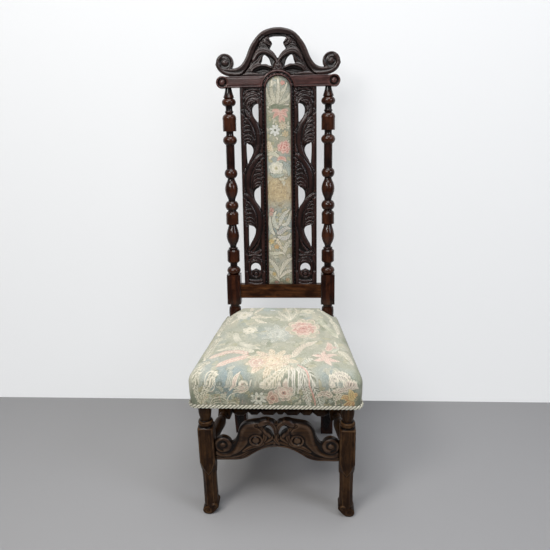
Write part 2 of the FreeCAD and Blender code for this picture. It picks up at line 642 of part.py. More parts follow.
def front_leg(side, label):
    body = new_body(label + "_body")
    barrel, collar = size["barrel_diameter"] / 2, size["collar_diameter"] / 2
    tenon = size["leg_tenon_diameter"] / 2
    ring_base = size["collar_top"] - size["collar_height"]
    ring_edge = collar * 0.84
    turning = lathe(label + "_turning", [
        (zero, size["leg_block_top"] - over), (barrel * 0.9, size["leg_block_top"] - over),
        (barrel * 0.9, ring_base), (ring_edge, ring_base, -size["collar_height"] / 5),
        (ring_edge, size["collar_top"]), (barrel * 0.86, size["collar_top"], -barrel * 0.14),
        (barrel * 0.88, rail_base), (tenon, rail_base), (tenon, rail_base + size["leg_tenon_length"]),
        (zero, rail_base + size["leg_tenon_length"])])
    block_base = size["leg_block_top"] - size["leg_block_height"]
    pad(body, "block", "XY_Plane", [square_outline(size["leg_block_width"], size["post_chamfer"])],
        block_base, size["leg_block_height"])
    half = size["leg_block_width"] / 2
    inset = -side * size["leg_shaft_inset"]
    point = block_base - size["leg_drop"]
    outline = [(half * 0.94, block_base + over), (half * 0.94, block_base, -half * 0.12),
               (half * 0.15, point, -half * 0.1), (-half * 0.15, point, -half * 0.12),
               (-half * 0.94, block_base), (-half * 0.94, block_base + over)]
    drop = slab(label + "_drop", outline, "XZ", -half * 0.94, size["leg_drop_thickness"])
    shaft = [(x + inset, y) for x, y in square_outline(size["leg_shaft_width"], size["leg_shaft_facet"])]
    pad(body, "shaft", "XY_Plane", [shaft], size["leg_shaft_base"], size["leg_shaft_top"] - size["leg_shaft_base"])
    outer, inner = size["toe_scroll_diameter"], size["toe_scroll_small"]
    spread = size["toe_scroll_spread"] / 2
    front = size["front_leg_axis_depth"] - size["toe_scroll_length"]
    pad(body, "outer_scroll", "XZ_Plane", [], front, size["toe_scroll_length"],
        [(inset + side * spread * 0.8, outer / 2, outer)])
    pad(body, "inner_scroll", "XZ_Plane", [], front, size["toe_scroll_length"],
        [(inset - side * spread * 0.9, inner / 2, inner)])
    lift = outer * 0.3
    sole = [(inset - spread * 0.9, zero), (inset + spread * 0.9, zero),
            (inset + size["leg_shaft_width"] * 0.36, size["leg_shaft_base"] + lift),
            (inset - size["leg_shaft_width"] * 0.36, size["leg_shaft_base"] + lift)]
    pad(body, "ankle", "XZ_Plane", [sole], front, size["toe_scroll_length"] * 0.9)
    leg = fuse(label + "_whole", [turning, body, drop])
    for place, amount in (("x", leg_x * side), ("y", leg_y)):
        bind(leg, f".Placement.Base.{place}", amount)
    return leg


stretcher_y = (size["toe_line"] + size["front_stretcher_setback"],
               size["toe_line"] + size["front_stretcher_setback"] + size["front_stretcher_thickness"])
stretcher_tenon_y = (stretcher_y[0] + size["front_stretcher_thickness"] / 4,
                     stretcher_y[1] - size["front_stretcher_thickness"] / 4)
front_tenon_z = (size["front_stretcher_base"] + size["tenon_shoulder"],
                 size["front_stretcher_base"] + size["tenon_shoulder"] + size["front_stretcher_tenon_height"])
leg_inner = leg_x - size["leg_block_width"] / 2
peg_x = leg_inner + size["tenon_length"] / 2
peg_z = [(front_tenon_z[0] + front_tenon_z[1]) / 2 + size["peg_spacing"] / 2 * sign for sign in (-1, 1)]
peg_face = leg_y - size["leg_block_width"] / 2


def pegs_at(side, name, diameter, length, start):
    return [rod(f"{name}_{number}", diameter, length, (peg_x * side, start, height), (0, 1, 0))
            for number, height in enumerate(peg_z)]


for side, label in ((left, "left_front_leg"), (right, "right_front_leg")):
    holes = [
        box(label + "_mortise", across_pair(side, (leg_inner - over, leg_inner + size["tenon_length"] + gap)),
            widened(stretcher_tenon_y), widened(front_tenon_z)),
        stretcher_rod(label + "_side_hole", side, side_front_y - size["stretcher_tenon_length"] - gap,
                      size["stretcher_tenon_length"] + over + gap, size["stretcher_tenon_diameter"] + gap * 2),
    ] + pegs_at(side, label + "_peg_hole", size["peg_diameter"], size["peg_length"] + over, peg_face - over)
    keep(cut(label, front_leg(side, label), holes), label)


# Turned stretchers under the seat


def side_stretcher(side, label):
    body = new_body(label + "_body")
    tenon, reach = size["stretcher_tenon_diameter"] / 2, size["stretcher_tenon_length"]
    slant = abs(math.tan(side_slant))
    ease = size["side_stretcher_bulb"] / 2 * 0.6 * slant + size["fit_gap"]
    full = side_run / math.cos(side_slant)
    cross_at = (axis_cross - side_front_y) / math.cos(side_slant)
    half_block = size["side_stretcher_block_length"] / 2
    front_run, rear_start = cross_at - half_block - ease, cross_at + half_block
    rows = side_stretcher_shares
    front = turned_profile(rows, ease, front_run, size["side_stretcher_bulb"])
    front_turning = lathe(label + "_front_turning", front)
    mirrored = [(1 - rows[i][0], rows[i][1], rows[i - 1][2] if i else 0)
                for i in range(len(rows) - 1, -1, -1)]
    rear_turning = lathe(label + "_rear_turning", turned_profile(mirrored, rear_start, full - ease - rear_start,
                                                                 size["side_stretcher_bulb"]))
    pad(body, "block", "XY_Plane", [square_outline(size["side_stretcher_block"], size["post_chamfer"])],
        cross_at - half_block, half_block * 2)
    tenons = lathe(label + "_tenons", [(zero, -reach), (tenon, -reach), (tenon, full + reach), (zero, full + reach)])
    whole = fuse(label + "_whole", [front_turning, rear_turning, body, tenons])
    whole.Placement.Rotation = FreeCAD.Rotation(FreeCAD.Vector(0, 0, 1), vector(*stretcher_direction(side)))
    for place, amount in (("x", side_front_x * side), ("y", side_front_y), ("z", size["side_stretcher_height"])):
        bind(whole, f".Placement.Base.{place}", amount)
    return whole


axis_cross = size["toe_line"] + size["cross_stretcher_depth"]
cross_share = (axis_cross - side_front_y) / side_run
cross_axis_x = side_front_x + (side_rear_x - side_front_x) * cross_share
cross_shoulder = cross_axis_x - size["side_stretcher_block"] / 2 / math.cos(side_slant)
cross_ease = size["cross_stretcher_bulb"] / 2 * 0.62 * abs(math.tan(side_slant)) + gap * 3
cross_hole = rod("cross_stretcher_hole", size["stretcher_tenon_diameter"] + gap * 2,
                 (cross_shoulder + size["stretcher_tenon_length"] + gap) * 2,
                 (-(cross_shoulder + size["stretcher_tenon_length"] + gap), axis_cross,
                  size["side_stretcher_height"]), (1, 0, 0))
for side, label in ((left, "left_side_stretcher"), (right, "right_side_stretcher")):
    keep(cut(label, side_stretcher(side, label), [cross_hole]), label)

cross_half = cross_shoulder - cross_ease
tenon_radius = size["stretcher_tenon_diameter"] / 2
tenon_end = cross_shoulder + size["stretcher_tenon_length"]
half_rows = turned_profile(cross_stretcher_shares, -cross_half, cross_half * 2, size["cross_stretcher_bulb"])[1:-1]
outwards = list(reversed(half_rows))
other_rows = [(row[0], -row[1], before[2]) for row, before in zip(outwards, outwards[1:])]
other_rows.append((half_rows[0][0], -half_rows[0][1]))
cross = lathe("cross_stretcher",
              [(zero, -tenon_end), (tenon_radius, -tenon_end), (tenon_radius, -cross_half)] + half_rows + other_rows
              + [(tenon_radius, cross_half), (tenon_radius, tenon_end), (zero, tenon_end)])
cross.Placement = FreeCAD.Placement(vector(0, axis_cross, size["side_stretcher_height"]),
                                    FreeCAD.Rotation(FreeCAD.Vector(0, 0, 1), FreeCAD.Vector(1, 0, 0)))
keep(cross, "cross_stretcher")


# Front stretcher: a sawn and carved board, scrolls at the legs and leaf curls at the middle.
# Outline of one half as (share of the half span, share of the height), seen from the front.

stretcher_under_shares = [(1.000, 0.000), (0.750, 0.000), (0.604, 0.011), (0.487, 0.068), (0.378, 0.165),
                          (0.270, 0.252), (0.158, 0.308), (0.047, 0.333), (0.000, 0.336)]
stretcher_upper_shares = [(0.698, 0.421), (0.633, 0.580), (0.604, 0.722), (0.557, 0.838), (0.481, 0.914),
                          (0.370, 0.948), (0.264, 0.966)]
stretcher_curl_shares = [(0.264, 0.966), (0.176, 1.000), (0.094, 0.966), (0.035, 0.915), (0.000, 0.970)]
stretcher_window_shares = [(0.041, 0.556), (0.041, 0.722), (0.067, 0.805), (0.123, 0.850), (0.182, 0.805),
                           (0.173, 0.752), (0.117, 0.714), (0.065, 0.624)]
eye_ring_share, eye_share = 0.72, 0.38
stretcher_half = leg_inner


def spline(places, closed=False):
    curve = Part.BSplineCurve()
    curve.interpolate(places, PeriodicFlag=closed)
    return curve.toShape()


def scaled(shares, side, width, base, height, depth):
    return [vector(along * side * float(width), depth, float(base) + up * float(height)) for along, up in shares]


def prism(wire, depth):
    return Part.Face(wire).extrude(vector(0, depth, 0))


def stretcher_solid():
    front, thick = float(stretcher_y[0]), float(size["front_stretcher_thickness"])
    base, height = size["front_stretcher_base"], size["front_stretcher_height"]
    edges = []
    for side in (left, right):
        def half(shares):
            return scaled(shares, side, stretcher_half, base, height, front)
        under, upper, curl = half(stretcher_under_shares), half(stretcher_upper_shares), half(stretcher_curl_shares)
        rise = vector(stretcher_half * side, front, base + size["front_scroll_rise"])
        shelf = vector(upper[0].x, front, rise.z)
        edges += [spline(under), Part.LineSegment(under[0], rise).toShape(), Part.LineSegment(rise, shelf).toShape(),
                  Part.LineSegment(shelf, upper[0]).toShape(), spline(upper), spline(curl)]
    board = prism(Part.Wire(Part.__sortEdges__(edges)), thick)
    sink = float(size["carving_depth"])
    for side in (left, right):
        radius = float(size["front_scroll_diameter"]) / 2
        centre = vector((stretcher_half - size["front_scroll_inset"]) * side, front, base + size["front_scroll_rise"])
        board = board.fuse(Part.makeCylinder(radius, thick, centre, vector(0, 1, 0)))
        hollow = Part.makeCylinder(radius * eye_ring_share, sink, centre, vector(0, 1, 0))
        board = board.cut(hollow.cut(Part.makeCylinder(radius * eye_share, thick, centre, vector(0, 1, 0))))
        radius = float(size["inner_scroll_diameter"]) / 2
        centre = vector(size["inner_scroll_spacing"] / 2 * side, front, base + size["inner_scroll_rise"])
        hollow = Part.makeCylinder(radius, sink, centre, vector(0, 1, 0))
        board = board.cut(hollow.cut(Part.makeCylinder(radius * eye_ring_share, thick, centre, vector(0, 1, 0))))
        window = scaled(stretcher_window_shares, side, stretcher_half, base, height, front - float(over))
        board = board.cut(prism(Part.Wire(spline(window, closed=True)), thick + float(over) * 2))
        low, high = float(leg_inner) * side, (float(leg_inner) + float(size["tenon_length"]) - float(gap)) * side
        tenon = Part.makeBox(abs(high - low) + float(over), float(stretcher_tenon_y[1] - stretcher_tenon_y[0]),
                             float(front_tenon_z[1] - front_tenon_z[0]),
                             vector(min(low - float(over) * side, high), stretcher_tenon_y[0], front_tenon_z[0]))
        board = board.fuse(tenon)
    return board.removeSplitter()


stretcher_board = shape("front_stretcher_board", stretcher_solid())
peg_tools = [peg for side, name in ((left, "left"), (right, "right"))
             for peg in pegs_at(side, name + "_tenon_hole", size["peg_diameter"], size["peg_length"] + gap,
                                peg_face)]
keep(cut("front_stretcher", stretcher_board, peg_tools), "front_stretcher")

group = doc.addObject("Part::Compound", "stretcher_pegs")
group.Links = [peg for side, name in ((left, "left"), (right, "right"))
               for peg in pegs_at(side, name + "_draw_peg", size["peg_diameter"], size["peg_length"], peg_face)]
keep(group, "stretcher_pegs")


# The back: lower rail, carved splats, panel board, stuffed strip, crest rail and cresting.
# These are made in the back's own frame and leaned into place.

splat_outer = size["splat_outer_width"] / 2
splat_inner = size["back_pad_width"] / 2
tongue_y = (splat_face + size["splat_thickness"] / 4, splat_back - size["splat_thickness"] / 4)
tongue_x = (splat_inner + size["rebate_width"] + size["fit_gap"], splat_outer - size["splat_edge_width"] / 2)
tongue = size["splat_tongue"]

lower_reach = block_inner + size["tenon_length"] - gap
lower_boards = [box("lower_back_rail_board", (-block_inner, block_inner), lower_rail_y, lower_rail_z),
                box("lower_back_rail_tenons", (-lower_reach, lower_reach), lower_tenon_y, lower_tenon_z)]
grooves = [box(f"lower_groove_{name}", across_pair(side, widened(tongue_x)), widened(tongue_y),
               (lower_rail_top - tongue - gap, lower_rail_top + over))
           for side, name in ((left, "left"), (right, "right"))]
keep(lean(cut("lower_back_rail", fuse("lower_back_rail_whole", lower_boards), grooves)), "lower_back_rail")

# Pierced openings of a splat: (top, bottom) as shares of its height, and the side that stays straight
splat_opening_shares = [(0.922, 0.833, "inner"), (0.724, 0.631, "outer"), (0.510, 0.406, "inner"),
                        (0.313, 0.206, "outer")]
# Bulging side of an opening, from its upper corner round to its lower one: across, then up
bulge_shares = [(0.00, 0.97), (0.18, 1.00), (0.60, 0.94), (0.92, 0.79), (1.00, 0.62), (0.87, 0.38), (0.46, 0.13),
                (0.00, 0.00)]
dome_shares = [(-0.50, 0.00), (-0.42, 0.55), (0.00, 1.00), (0.42, 0.55), (0.50, 0.00)]
dome_base_share, dome_top_share = 0.073, 0.112


def splat(side, label):
    body = new_body(label + "_body")
    height = crest_base - lower_rail_top
    outline = [(splat_inner * side, lower_rail_top), (splat_outer * side, lower_rail_top),
               (splat_outer * side, crest_base), (splat_inner * side, crest_base)]
    field_outer = splat_outer - size["splat_edge_width"]
    field_inner = splat_inner + size["splat_border_width"]
    wide, front, through = size["opening_width"], float(splat_face - over), float(size["splat_thickness"] + over * 2)

    def opening(curve, base_x, top_share, bottom_share, reach):
        bottom = lower_rail_top + height * bottom_share
        places = [vector(base_x + reach * across, front, bottom + height * (top_share - bottom_share) * up)
                  for across, up in curve]
        straight = Part.LineSegment(places[-1], places[0]).toShape()
        return prism(Part.Wire([spline(places), straight]), through)

    openings = []
    for high, low, straight in splat_opening_shares:
        edge, reach = (field_inner, wide) if straight == "inner" else (field_outer, -wide)
        openings.append(opening(bulge_shares, edge * side, high, low, reach * side))
    middle = (field_outer + field_inner) / 2 * side
    openings.append(opening(dome_shares, middle, dome_top_share, dome_base_share, size["dome_width"] * side))
    openings = [shape(f"{label}_opening_{number}", solid) for number, solid in enumerate(openings)]
    pad(body, "board", "XZ_Plane", [outline], -splat_back, size["splat_thickness"])
    tongues = box(label + "_tongues", across_pair(side, tongue_x), tongue_y,
                  (lower_rail_top - tongue, crest_base + tongue))
    middle_room = box(label + "_tongue_room", across_pair(side, tongue_x), tongue_y, (lower_rail_top, crest_base))
    ends = cut(label + "_tongue_ends", tongues, [middle_room])
    rebate = box(label + "_rebate", across_pair(side, (splat_inner - over, splat_inner + size["rebate_width"])),
                 (pad_seat, splat_back + over), (lower_rail_top - over, crest_base + over))
    return lean(fuse(label, [cut(label + "_rebated", body, [rebate] + openings), ends]))


for side, label in ((left, "left_splat"), (right, "right_splat")):
    keep(splat(side, label), label)

board_half = splat_inner + size["rebate_width"] - gap
panel = box("panel_board_sheet", (-board_half, board_half), (pad_seat, pad_seat + size["panel_board_thickness"]),
            (lower_rail_top, crest_base))
group = doc.addObject("Part::Compound", "panel_board")
group.Links = [panel]
keep(lean(group), "panel_board")


def strip_form(half, edge, crown, base, lift):
    """Domed strip with a half round top end, crown towards the front, drawn down over rounded sides."""
    half, edge, crown, base, lift = (float(amount) for amount in (half, edge, crown, base, lift))
    seat, centre = float(pad_seat) - lift, float(arch_centre)

    def arched(start_x, through_x, through, end_x, end):
        return Part.Arc(vector(start_x, seat - edge, 0), vector(through_x, through, 0), vector(end_x, end, 0)).toShape()

    def face(corners, bend):
        runs = [Part.LineSegment(vector(*here, 0), vector(*after, 0)).toShape()
                for here, after in zip(corners, corners[1:])]
        return Part.Face(Part.Wire(Part.__sortEdges__(runs + [bend])))

    radius = (half ** 2 + (crown - edge) ** 2) / 2 / (crown - edge)
    shoulder = half / 2
    rise = seat - crown + radius - math.sqrt(radius ** 2 - shoulder ** 2)
    whole = face([(half, seat - edge), (half, seat), (-half, seat), (-half, seat - edge)],
                 arched(-half, 0, seat - crown, half, seat - edge))
    solid = whole.extrude(vector(0, 0, centre - base))
    solid.translate(vector(0, 0, base))
    cap = face([(half, seat - edge), (half, seat), (0, seat), (0, seat - crown)],
               arched(half, shoulder, rise, 0, seat - crown))
    cap.translate(vector(0, 0, centre))
    cap = cap.revolve(vector(0, 0, centre), vector(0, 1, 0), -180)
    return solid.fuse(cap).removeSplitter()


stuffing_half = splat_inner - size["cloth_thickness"] - gap * 2
strip_base = lower_rail_top + gap
stuffing = strip_form(stuffing_half, size["back_pad_edge"], size["back_pad_crown"] - size["cloth_thickness"] - gap,
                      strip_base, gap)
cover_outside = strip_form(splat_inner - gap, size["back_pad_edge"] + gap, size["back_pad_crown"], strip_base, gap)
cover_inside = strip_form(stuffing_half + gap, size["back_pad_edge"] + gap + over,
                          size["back_pad_crown"] - size["cloth_thickness"] + over, strip_base - over, gap - over)
keep(lean(shape("back_pad_stuffing", stuffing)), "back_pad_stuffing")
keep(lean(shape("back_pad_cover", cover_outside.cut(cover_inside))), "back_pad_cover")


def crest_rail_solid():
    half, height = float(crest_half), float(size["crest_rail_height"])
    base, face, thick = float(crest_base), float(crest_face), float(size["crest_rail_thickness"])
    end = height / 2
    forward = vector(0, 1, 0)
    rail = Part.makeBox((half - end) * 2, thick, height, vector(-(half - end), face, base))
    hump = Part.makeCylinder(size["crest_hump_radius"].value, thick, vector(0, face, arch_centre), forward)
    rail = rail.fuse(hump.common(Part.makeBox(half, thick, half, vector(-half / 2, face, base))))
    for side in (left, right):
        centre = vector((half - end) * side, face, base + end)
        rail = rail.fuse(Part.makeCylinder(end, thick, centre, forward))
        ring = Part.makeCylinder(end * 0.72, thick * 0.12, centre, forward)
        rail = rail.cut(ring.cut(Part.makeCylinder(end * 0.45, thick, centre, forward)))
        hole = Part.makeCylinder(float(size["post_tenon_diameter"]) / 2 + float(gap),
                                 float(size["post_tenon_length"] + gap + over),
                                 vector(float(post_x) * side, 0, base - float(over)), vector(0, 0, 1))
        low, high = across_pair(side, widened(tongue_x))
        groove = Part.makeBox(float(high - low), float(tongue_y[1] - tongue_y[0] + gap * 2),
                              float(tongue + gap + over), vector(low, tongue_y[0] - gap, base - float(over)))
        dowel = Part.makeCylinder(float(size["dowel_diameter"]) / 2, float(size["dowel_length"]) / 2,
                                  vector(float(dowel_x) * side, dowel_y,
                                         base + height - float(size["dowel_length"]) / 2), vector(0, 0, 1))
        rail = rail.cut(hole).cut(groove).cut(dowel)
    sunk = float(pad_seat) - thick
    sinking = Part.makeCylinder(splat_inner.value, thick, vector(0, sunk, arch_centre), forward)
    slot = Part.makeBox(splat_inner.value * 2, thick, height,
                        vector(-splat_inner.value, sunk, float(arch_centre) - height))
    return rail.cut(sinking.fuse(slot)).removeSplitter()


cresting_y = (crest_face + size["cresting_setback"], crest_face + size["cresting_setback"] + size["cresting_thickness"])
dowel_y = (cresting_y[0] + cresting_y[1]) / 2
keep(lean(shape("crest_rail", crest_rail_solid())), "crest_rail")

# Cresting: arched band that runs into volutes, with pierced leafwork under the arch.
# Shares of its half width and of its height above the crest rail.
arch_outer_shares = [(0.722, 0.174), (0.655, 0.189), (0.588, 0.249), (0.520, 0.391), (0.448, 0.609),
                     (0.362, 0.782), (0.271, 0.895), (0.153, 0.970), (0.000, 1.000)]
arch_inner_shares = [(0.602, 0.000), (0.550, 0.060), (0.472, 0.195), (0.407, 0.368), (0.336, 0.594),
                     (0.252, 0.737), (0.139, 0.829), (0.000, 0.860)]
arch_window_shares = [(0.000, 0.370), (0.050, 0.460), (0.078, 0.505), (0.122, 0.558), (0.112, 0.640), (0.096, 0.690),
                      (0.117, 0.737), (0.133, 0.800), (0.070, 0.822), (0.000, 0.826)]
side_window_shares = [(0.211, 0.429), (0.140, 0.350), (0.114, 0.207), (0.180, 0.232), (0.271, 0.248), (0.245, 0.387)]
volute_under_shares = [(1.000, 0.260), (0.985, 0.150), (0.930, 0.045), (0.850, 0.000)]
eye_hollow_share = 0.72


def cresting_solid():
    half, height = float(cresting_half), float(size["cresting_height"])
    base, face, thick = float(crest_top), float(cresting_y[0]), float(size["cresting_thickness"])
    radius = float(size["volute_diameter"]) / 2
    forward = vector(0, 1, 0)
    middle = vector(0, face, base)
    volute_x, volute_up = half - radius, base + float(size["volute_rise"])
    arch, under, leafwork = [], [], []
    for side in (left, right):
        outer = scaled(arch_outer_shares, side, half, base, height, face)
        inner = scaled(arch_inner_shares, side, half, base, height, face)
        below = scaled(volute_under_shares, side, half, base, height, face)
        foot = vector(outer[0].x, face, base)
        arch += [spline(outer), Part.LineSegment(outer[0], foot).toShape(), Part.LineSegment(foot, middle).toShape()]
        leafwork += [spline(inner), Part.LineSegment(inner[0], middle).toShape()]
        under.append(Part.Wire([spline(below), Part.LineSegment(below[-1], foot).toShape(),
                                Part.LineSegment(foot, outer[0]).toShape(),
                                Part.LineSegment(outer[0], vector(volute_x * side, face, volute_up)).toShape(),
                                Part.LineSegment(vector(volute_x * side, face, volute_up), below[0]).toShape()]))
    board = prism(Part.Wire(Part.__sortEdges__(arch)), thick)
    board = board.cut(prism(Part.Wire(Part.__sortEdges__(leafwork)), float(size["carving_depth"])))
    for side, wire in zip((left, right), under):
        centre = vector(volute_x * side, face, volute_up)
        board = board.fuse(Part.makeCylinder(radius, thick, centre, forward)).fuse(prism(wire, thick))
        sink = Part.makeCylinder(radius * eye_hollow_share, float(size["volute_sink"]), centre, forward)
        board = board.cut(sink.cut(Part.makeCylinder(float(size["volute_eye"]) / 2, thick, centre, forward)))
        window = scaled(side_window_shares, side, half, base, height, face - float(over))
        board = board.cut(prism(Part.Wire(spline(window, closed=True)), thick + float(over) * 2))
        dowel = Part.makeCylinder(float(size["dowel_diameter"]) / 2, float(size["dowel_length"]) / 2,
                                  vector(float(dowel_x) * side, dowel_y, base), vector(0, 0, 1))
        board = board.cut(dowel)
    rim = scaled(arch_window_shares, right, half, base, height, face - float(over))
    other = scaled(arch_window_shares, left, half, base, height, face - float(over))
    board = board.cut(prism(Part.Wire(Part.__sortEdges__([spline(rim), spline(other)])), thick + float(over) * 2))
    hump = Part.makeCylinder(size["crest_hump_radius"].value, thick * 3, vector(0, face - thick, arch_centre),
                             forward)
    return board.cut(hump).removeSplitter()


keep(lean(shape("cresting", cresting_solid())), "cresting")
dowels = [rod(name + "_cresting_dowel", size["dowel_diameter"], size["dowel_length"],
              (dowel_x * side, dowel_y, crest_top - size["dowel_length"] / 2), (0, 0, 1))
          for side, name in ((left, "left"), (right, "right"))]
group = doc.addObject("Part::Compound", "cresting_dowels")
group.Links = dowels
keep(lean(group), "cresting_dowels")


# Seat upholstery: webbing, canvas, stuffing, cover and braid, each cut away round the posts

# The sides swell a little, round over at the edge and rise in a shallow crown. Heights are shares of the
# way from the rail's underside to the crown, and insets are shares of that same rise.
edge_start_share, edge_end_share, edge_inset_share = 0.62, 0.93, 0.30
crown_inset_share, rear_inset_share, edge_steps, crown_steps = 1.10, 0.35, 6, 5


def seat_rows():
    """(share of the rise, swell share, inset share) from the foot of the cover to the crown."""
    rows = [(0.0, 0.0, 0.0), (0.09, 0.0, 0.0), (0.28, 0.75, 0.0), (0.45, 1.0, 0.0)]
    for step in range(edge_steps + 1):
        angle = math.pi / 2 * step / edge_steps
        rows.append((edge_start_share + (edge_end_share - edge_start_share) * math.sin(angle),
                     math.cos(angle), edge_inset_share * (1 - math.cos(angle))))
    for step in range(1, crown_steps + 1):
        way = step / crown_steps
        rows.append((edge_end_share + (1 - edge_end_share) * (1 - (1 - way) ** 2), 0.0,
                     edge_inset_share + (crown_inset_share - edge_inset_share) * way))
    return rows


def seat_form(inset, lower_by):
    rise = float(size["seat_crown_height"] - rail_base)
    stand = float(size["cover_stand"]) - inset
    wires = []
    for along, swell, draw_in in seat_rows():
        height = float(rail_base) + along * (rise - lower_by)
        if along == 0:
            height -= lower_by
        face = stand + swell * size["cover_bulge"].value - draw_in * rise
        rear = stand - draw_in * rise * rear_inset_share
        wires.append(seat_wire(face, face, rear, height))
    return Part.makeLoft(wires, True, True)


def post_rooms(base, height, room):
    """Space that the posts take up in a layer of the seat."""
    width = float(size["post_block_width"]) + float(room) * 2
    depth, front = float(size["seat_line_depth"]), float(post_front) - float(room)
    return [Part.makeBox(width, depth, float(height), vector(float(post_x) * side - width / 2, front, base))
            for side in (left, right)]


def layer(inset, base, thickness):
    """Flat layer of the seat's plan, notched round the posts."""
    sheet_face = Part.Face(seat_wire(inset, inset, inset, base))
    solid = sheet_face.extrude(vector(0, 0, thickness))
    for room in post_rooms(float(base) - float(over), float(thickness) + float(over) * 2, size["post_room"]):
        solid = solid.cut(room)
    return solid


web_low = rail_top.value
web_step = size["web_thickness"].value
web_half = size["web_width"].value / 2
rail_land = size["side_rail_thickness"].value / 2
web_columns = [size["web_spacing"].value * number for number in (-1, 0, 1)]
web_rows = [float(rail_inner) + size["web_spacing"].value * (number + 0.5) for number in range(3)]


def woven_strip(low, high, crossings, lengthways, centre, first_over):
    """Strip of webbing that passes over and under the strips it crosses."""
    slope = web_half * 0.6
    places = [(low, 0)]
    for number, crossing in enumerate(crossings):
        if (number % 2 == 0) == first_over:
            places += [(crossing - web_half - slope, 0), (crossing - web_half, web_step),
                       (crossing + web_half, web_step), (crossing + web_half + slope, 0)]
    places.append((high, 0))
    section = [(along, up) for along, up in places] + [(along, up + web_step) for along, up in reversed(places)]
    if lengthways:
        wire = Part.makePolygon([vector(centre - web_half, along, web_low + up)
                                 for along, up in section + section[:1]])
        return Part.Face(wire).extrude(vector(web_half * 2, 0, 0))
    wire = Part.makePolygon([vector(along, centre - web_half, web_low + up)
                             for along, up in section + section[:1]])
    return Part.Face(wire).extrude(vector(0, web_half * 2, 0))


strips = [woven_strip(float(rail_front) + rail_land, float(seat_rear) - float(gap), web_rows, True, column,
                      number % 2 == 0)
          for number, column in enumerate(web_columns)]
for number, row in enumerate(web_rows):
    reach = float(side_rail_x(row)) - rail_land
    strips.append(woven_strip(-reach, reach, web_columns, False, row, number % 2 == 1))
keep(shape("seat_webbing", Part.makeCompound(strips)), "seat_webbing")

hessian_base = web_low + web_step * 2
keep(shape("seat_hessian", layer(-gap, hessian_base, size["hessian_thickness"])), "seat_hessian")

cloth = size["cloth_thickness"].value
stuffing_base = hessian_base + size["hessian_thickness"].value
stuffing_form = seat_form(cloth + gap.value, cloth + gap.value)
cover_form = seat_form(0, 0).cut(seat_form(cloth, cloth))
plan_reach = size["front_rail_width"].value
upper_room = Part.makeBox(plan_reach * 2, plan_reach * 2, plan_reach, vector(-plan_reach, -plan_reach, stuffing_base))
stuffing_form = stuffing_form.common(upper_room)
for room in post_rooms(float(rail_base) - float(over), plan_reach, size["post_room"]):
    stuffing_form = stuffing_form.cut(room)
    cover_form = cover_form.cut(room)
keep(shape("seat_stuffing", stuffing_form), "seat_stuffing")
keep(shape("seat_cover", cover_form), "seat_cover")

braid_inner, braid_outer = size["cover_stand"] + gap, size["cover_stand"] + gap + size["braid_thickness"]
braid_room = Part.Face(seat_wire(braid_inner, braid_inner, braid_inner, rail_base - over))
braid_room = braid_room.extrude(vector(0, 0, size["seat_rail_height"]))
keep(shape("seat_braid", layer(braid_outer, rail_base, size["braid_height"]).cut(braid_room)), "seat_braid")


# Every piece is checked before any is written

doc.recompute()
for thing in doc.Objects:
    if "Invalid" in thing.State or "Error" in thing.State:
        raise SystemExit(f"{thing.Name} did not build: {thing.State}")
for thing in nodes:
    if thing.Shape.isNull() or not thing.Shape.isValid():
        raise SystemExit(f"{thing.Label} has no valid shape")
for thing in nodes:
    thing.Shape.exportStep(f"parts/{thing.Label}.step")
    print(f"{thing.Label}: {len(thing.Shape.Solids)} solid(s), {thing.Shape.Volume / 1000:.1f} cm3")
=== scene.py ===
import math
import bmesh
import bpy
import numpy as np
from mathutils import Matrix, Vector


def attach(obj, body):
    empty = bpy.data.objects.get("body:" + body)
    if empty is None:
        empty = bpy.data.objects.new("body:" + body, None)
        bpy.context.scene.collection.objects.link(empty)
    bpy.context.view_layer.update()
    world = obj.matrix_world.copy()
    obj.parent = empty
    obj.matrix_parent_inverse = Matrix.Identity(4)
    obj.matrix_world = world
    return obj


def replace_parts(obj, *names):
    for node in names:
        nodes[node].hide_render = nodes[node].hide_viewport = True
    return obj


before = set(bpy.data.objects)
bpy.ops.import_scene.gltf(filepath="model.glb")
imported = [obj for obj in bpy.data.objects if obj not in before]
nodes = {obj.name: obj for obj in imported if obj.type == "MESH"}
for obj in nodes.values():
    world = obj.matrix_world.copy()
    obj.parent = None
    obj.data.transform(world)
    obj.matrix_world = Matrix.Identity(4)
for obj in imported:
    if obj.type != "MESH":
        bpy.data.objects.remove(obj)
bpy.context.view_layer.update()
print("frame loaded:", len(nodes), "nodes")

# The back leans: its own frame stands on the seat line, x across, y to the rear, z up along the back
back = {"toe": -0.249, "seatLineDepth": 0.378, "seatLine": 0.451, "rake": math.radians(7.94)}
backTurn = Matrix.Translation((0, back["toe"] + back["seatLineDepth"], back["seatLine"])) \
    @ Matrix.Rotation(-back["rake"], 4, "X")


def putIn(name, data):
    holder = bpy.data.objects.new(name, data)
    bpy.context.scene.collection.objects.link(holder)
    return holder


# Camera at the photograph's angle

camera = {"place": (0.10013, -1.41781 + back["toe"], 1.27575), "down": 20.85, "turn": -3.72, "roll": -1.44,
    "lens": 40.937}


def placeCamera():
    down, turn, roll = (math.radians(camera[key]) for key in ("down", "turn", "roll"))
    ahead = Vector((math.sin(turn) * math.cos(down), math.cos(turn) * math.cos(down), -math.sin(down)))
    flat = Vector((math.cos(turn), -math.sin(turn), 0))
    upright = flat.cross(ahead)
    across = flat * math.cos(roll) + upright * math.sin(roll)
    above = upright * math.cos(roll) - flat * math.sin(roll)
    lens = bpy.data.cameras.new("photoCamera")
    lens.lens, lens.sensor_width, lens.clip_start = camera["lens"], 36, 0.05
    holder = putIn("photoCamera", lens)
    turned = Matrix((across, above, -ahead)).transposed().to_4x4()
    holder.matrix_world = Matrix.Translation(camera["place"]) @ turned
    bpy.context.scene.camera = holder


placeCamera()


# Shader maths: a wired socket that takes part in sums

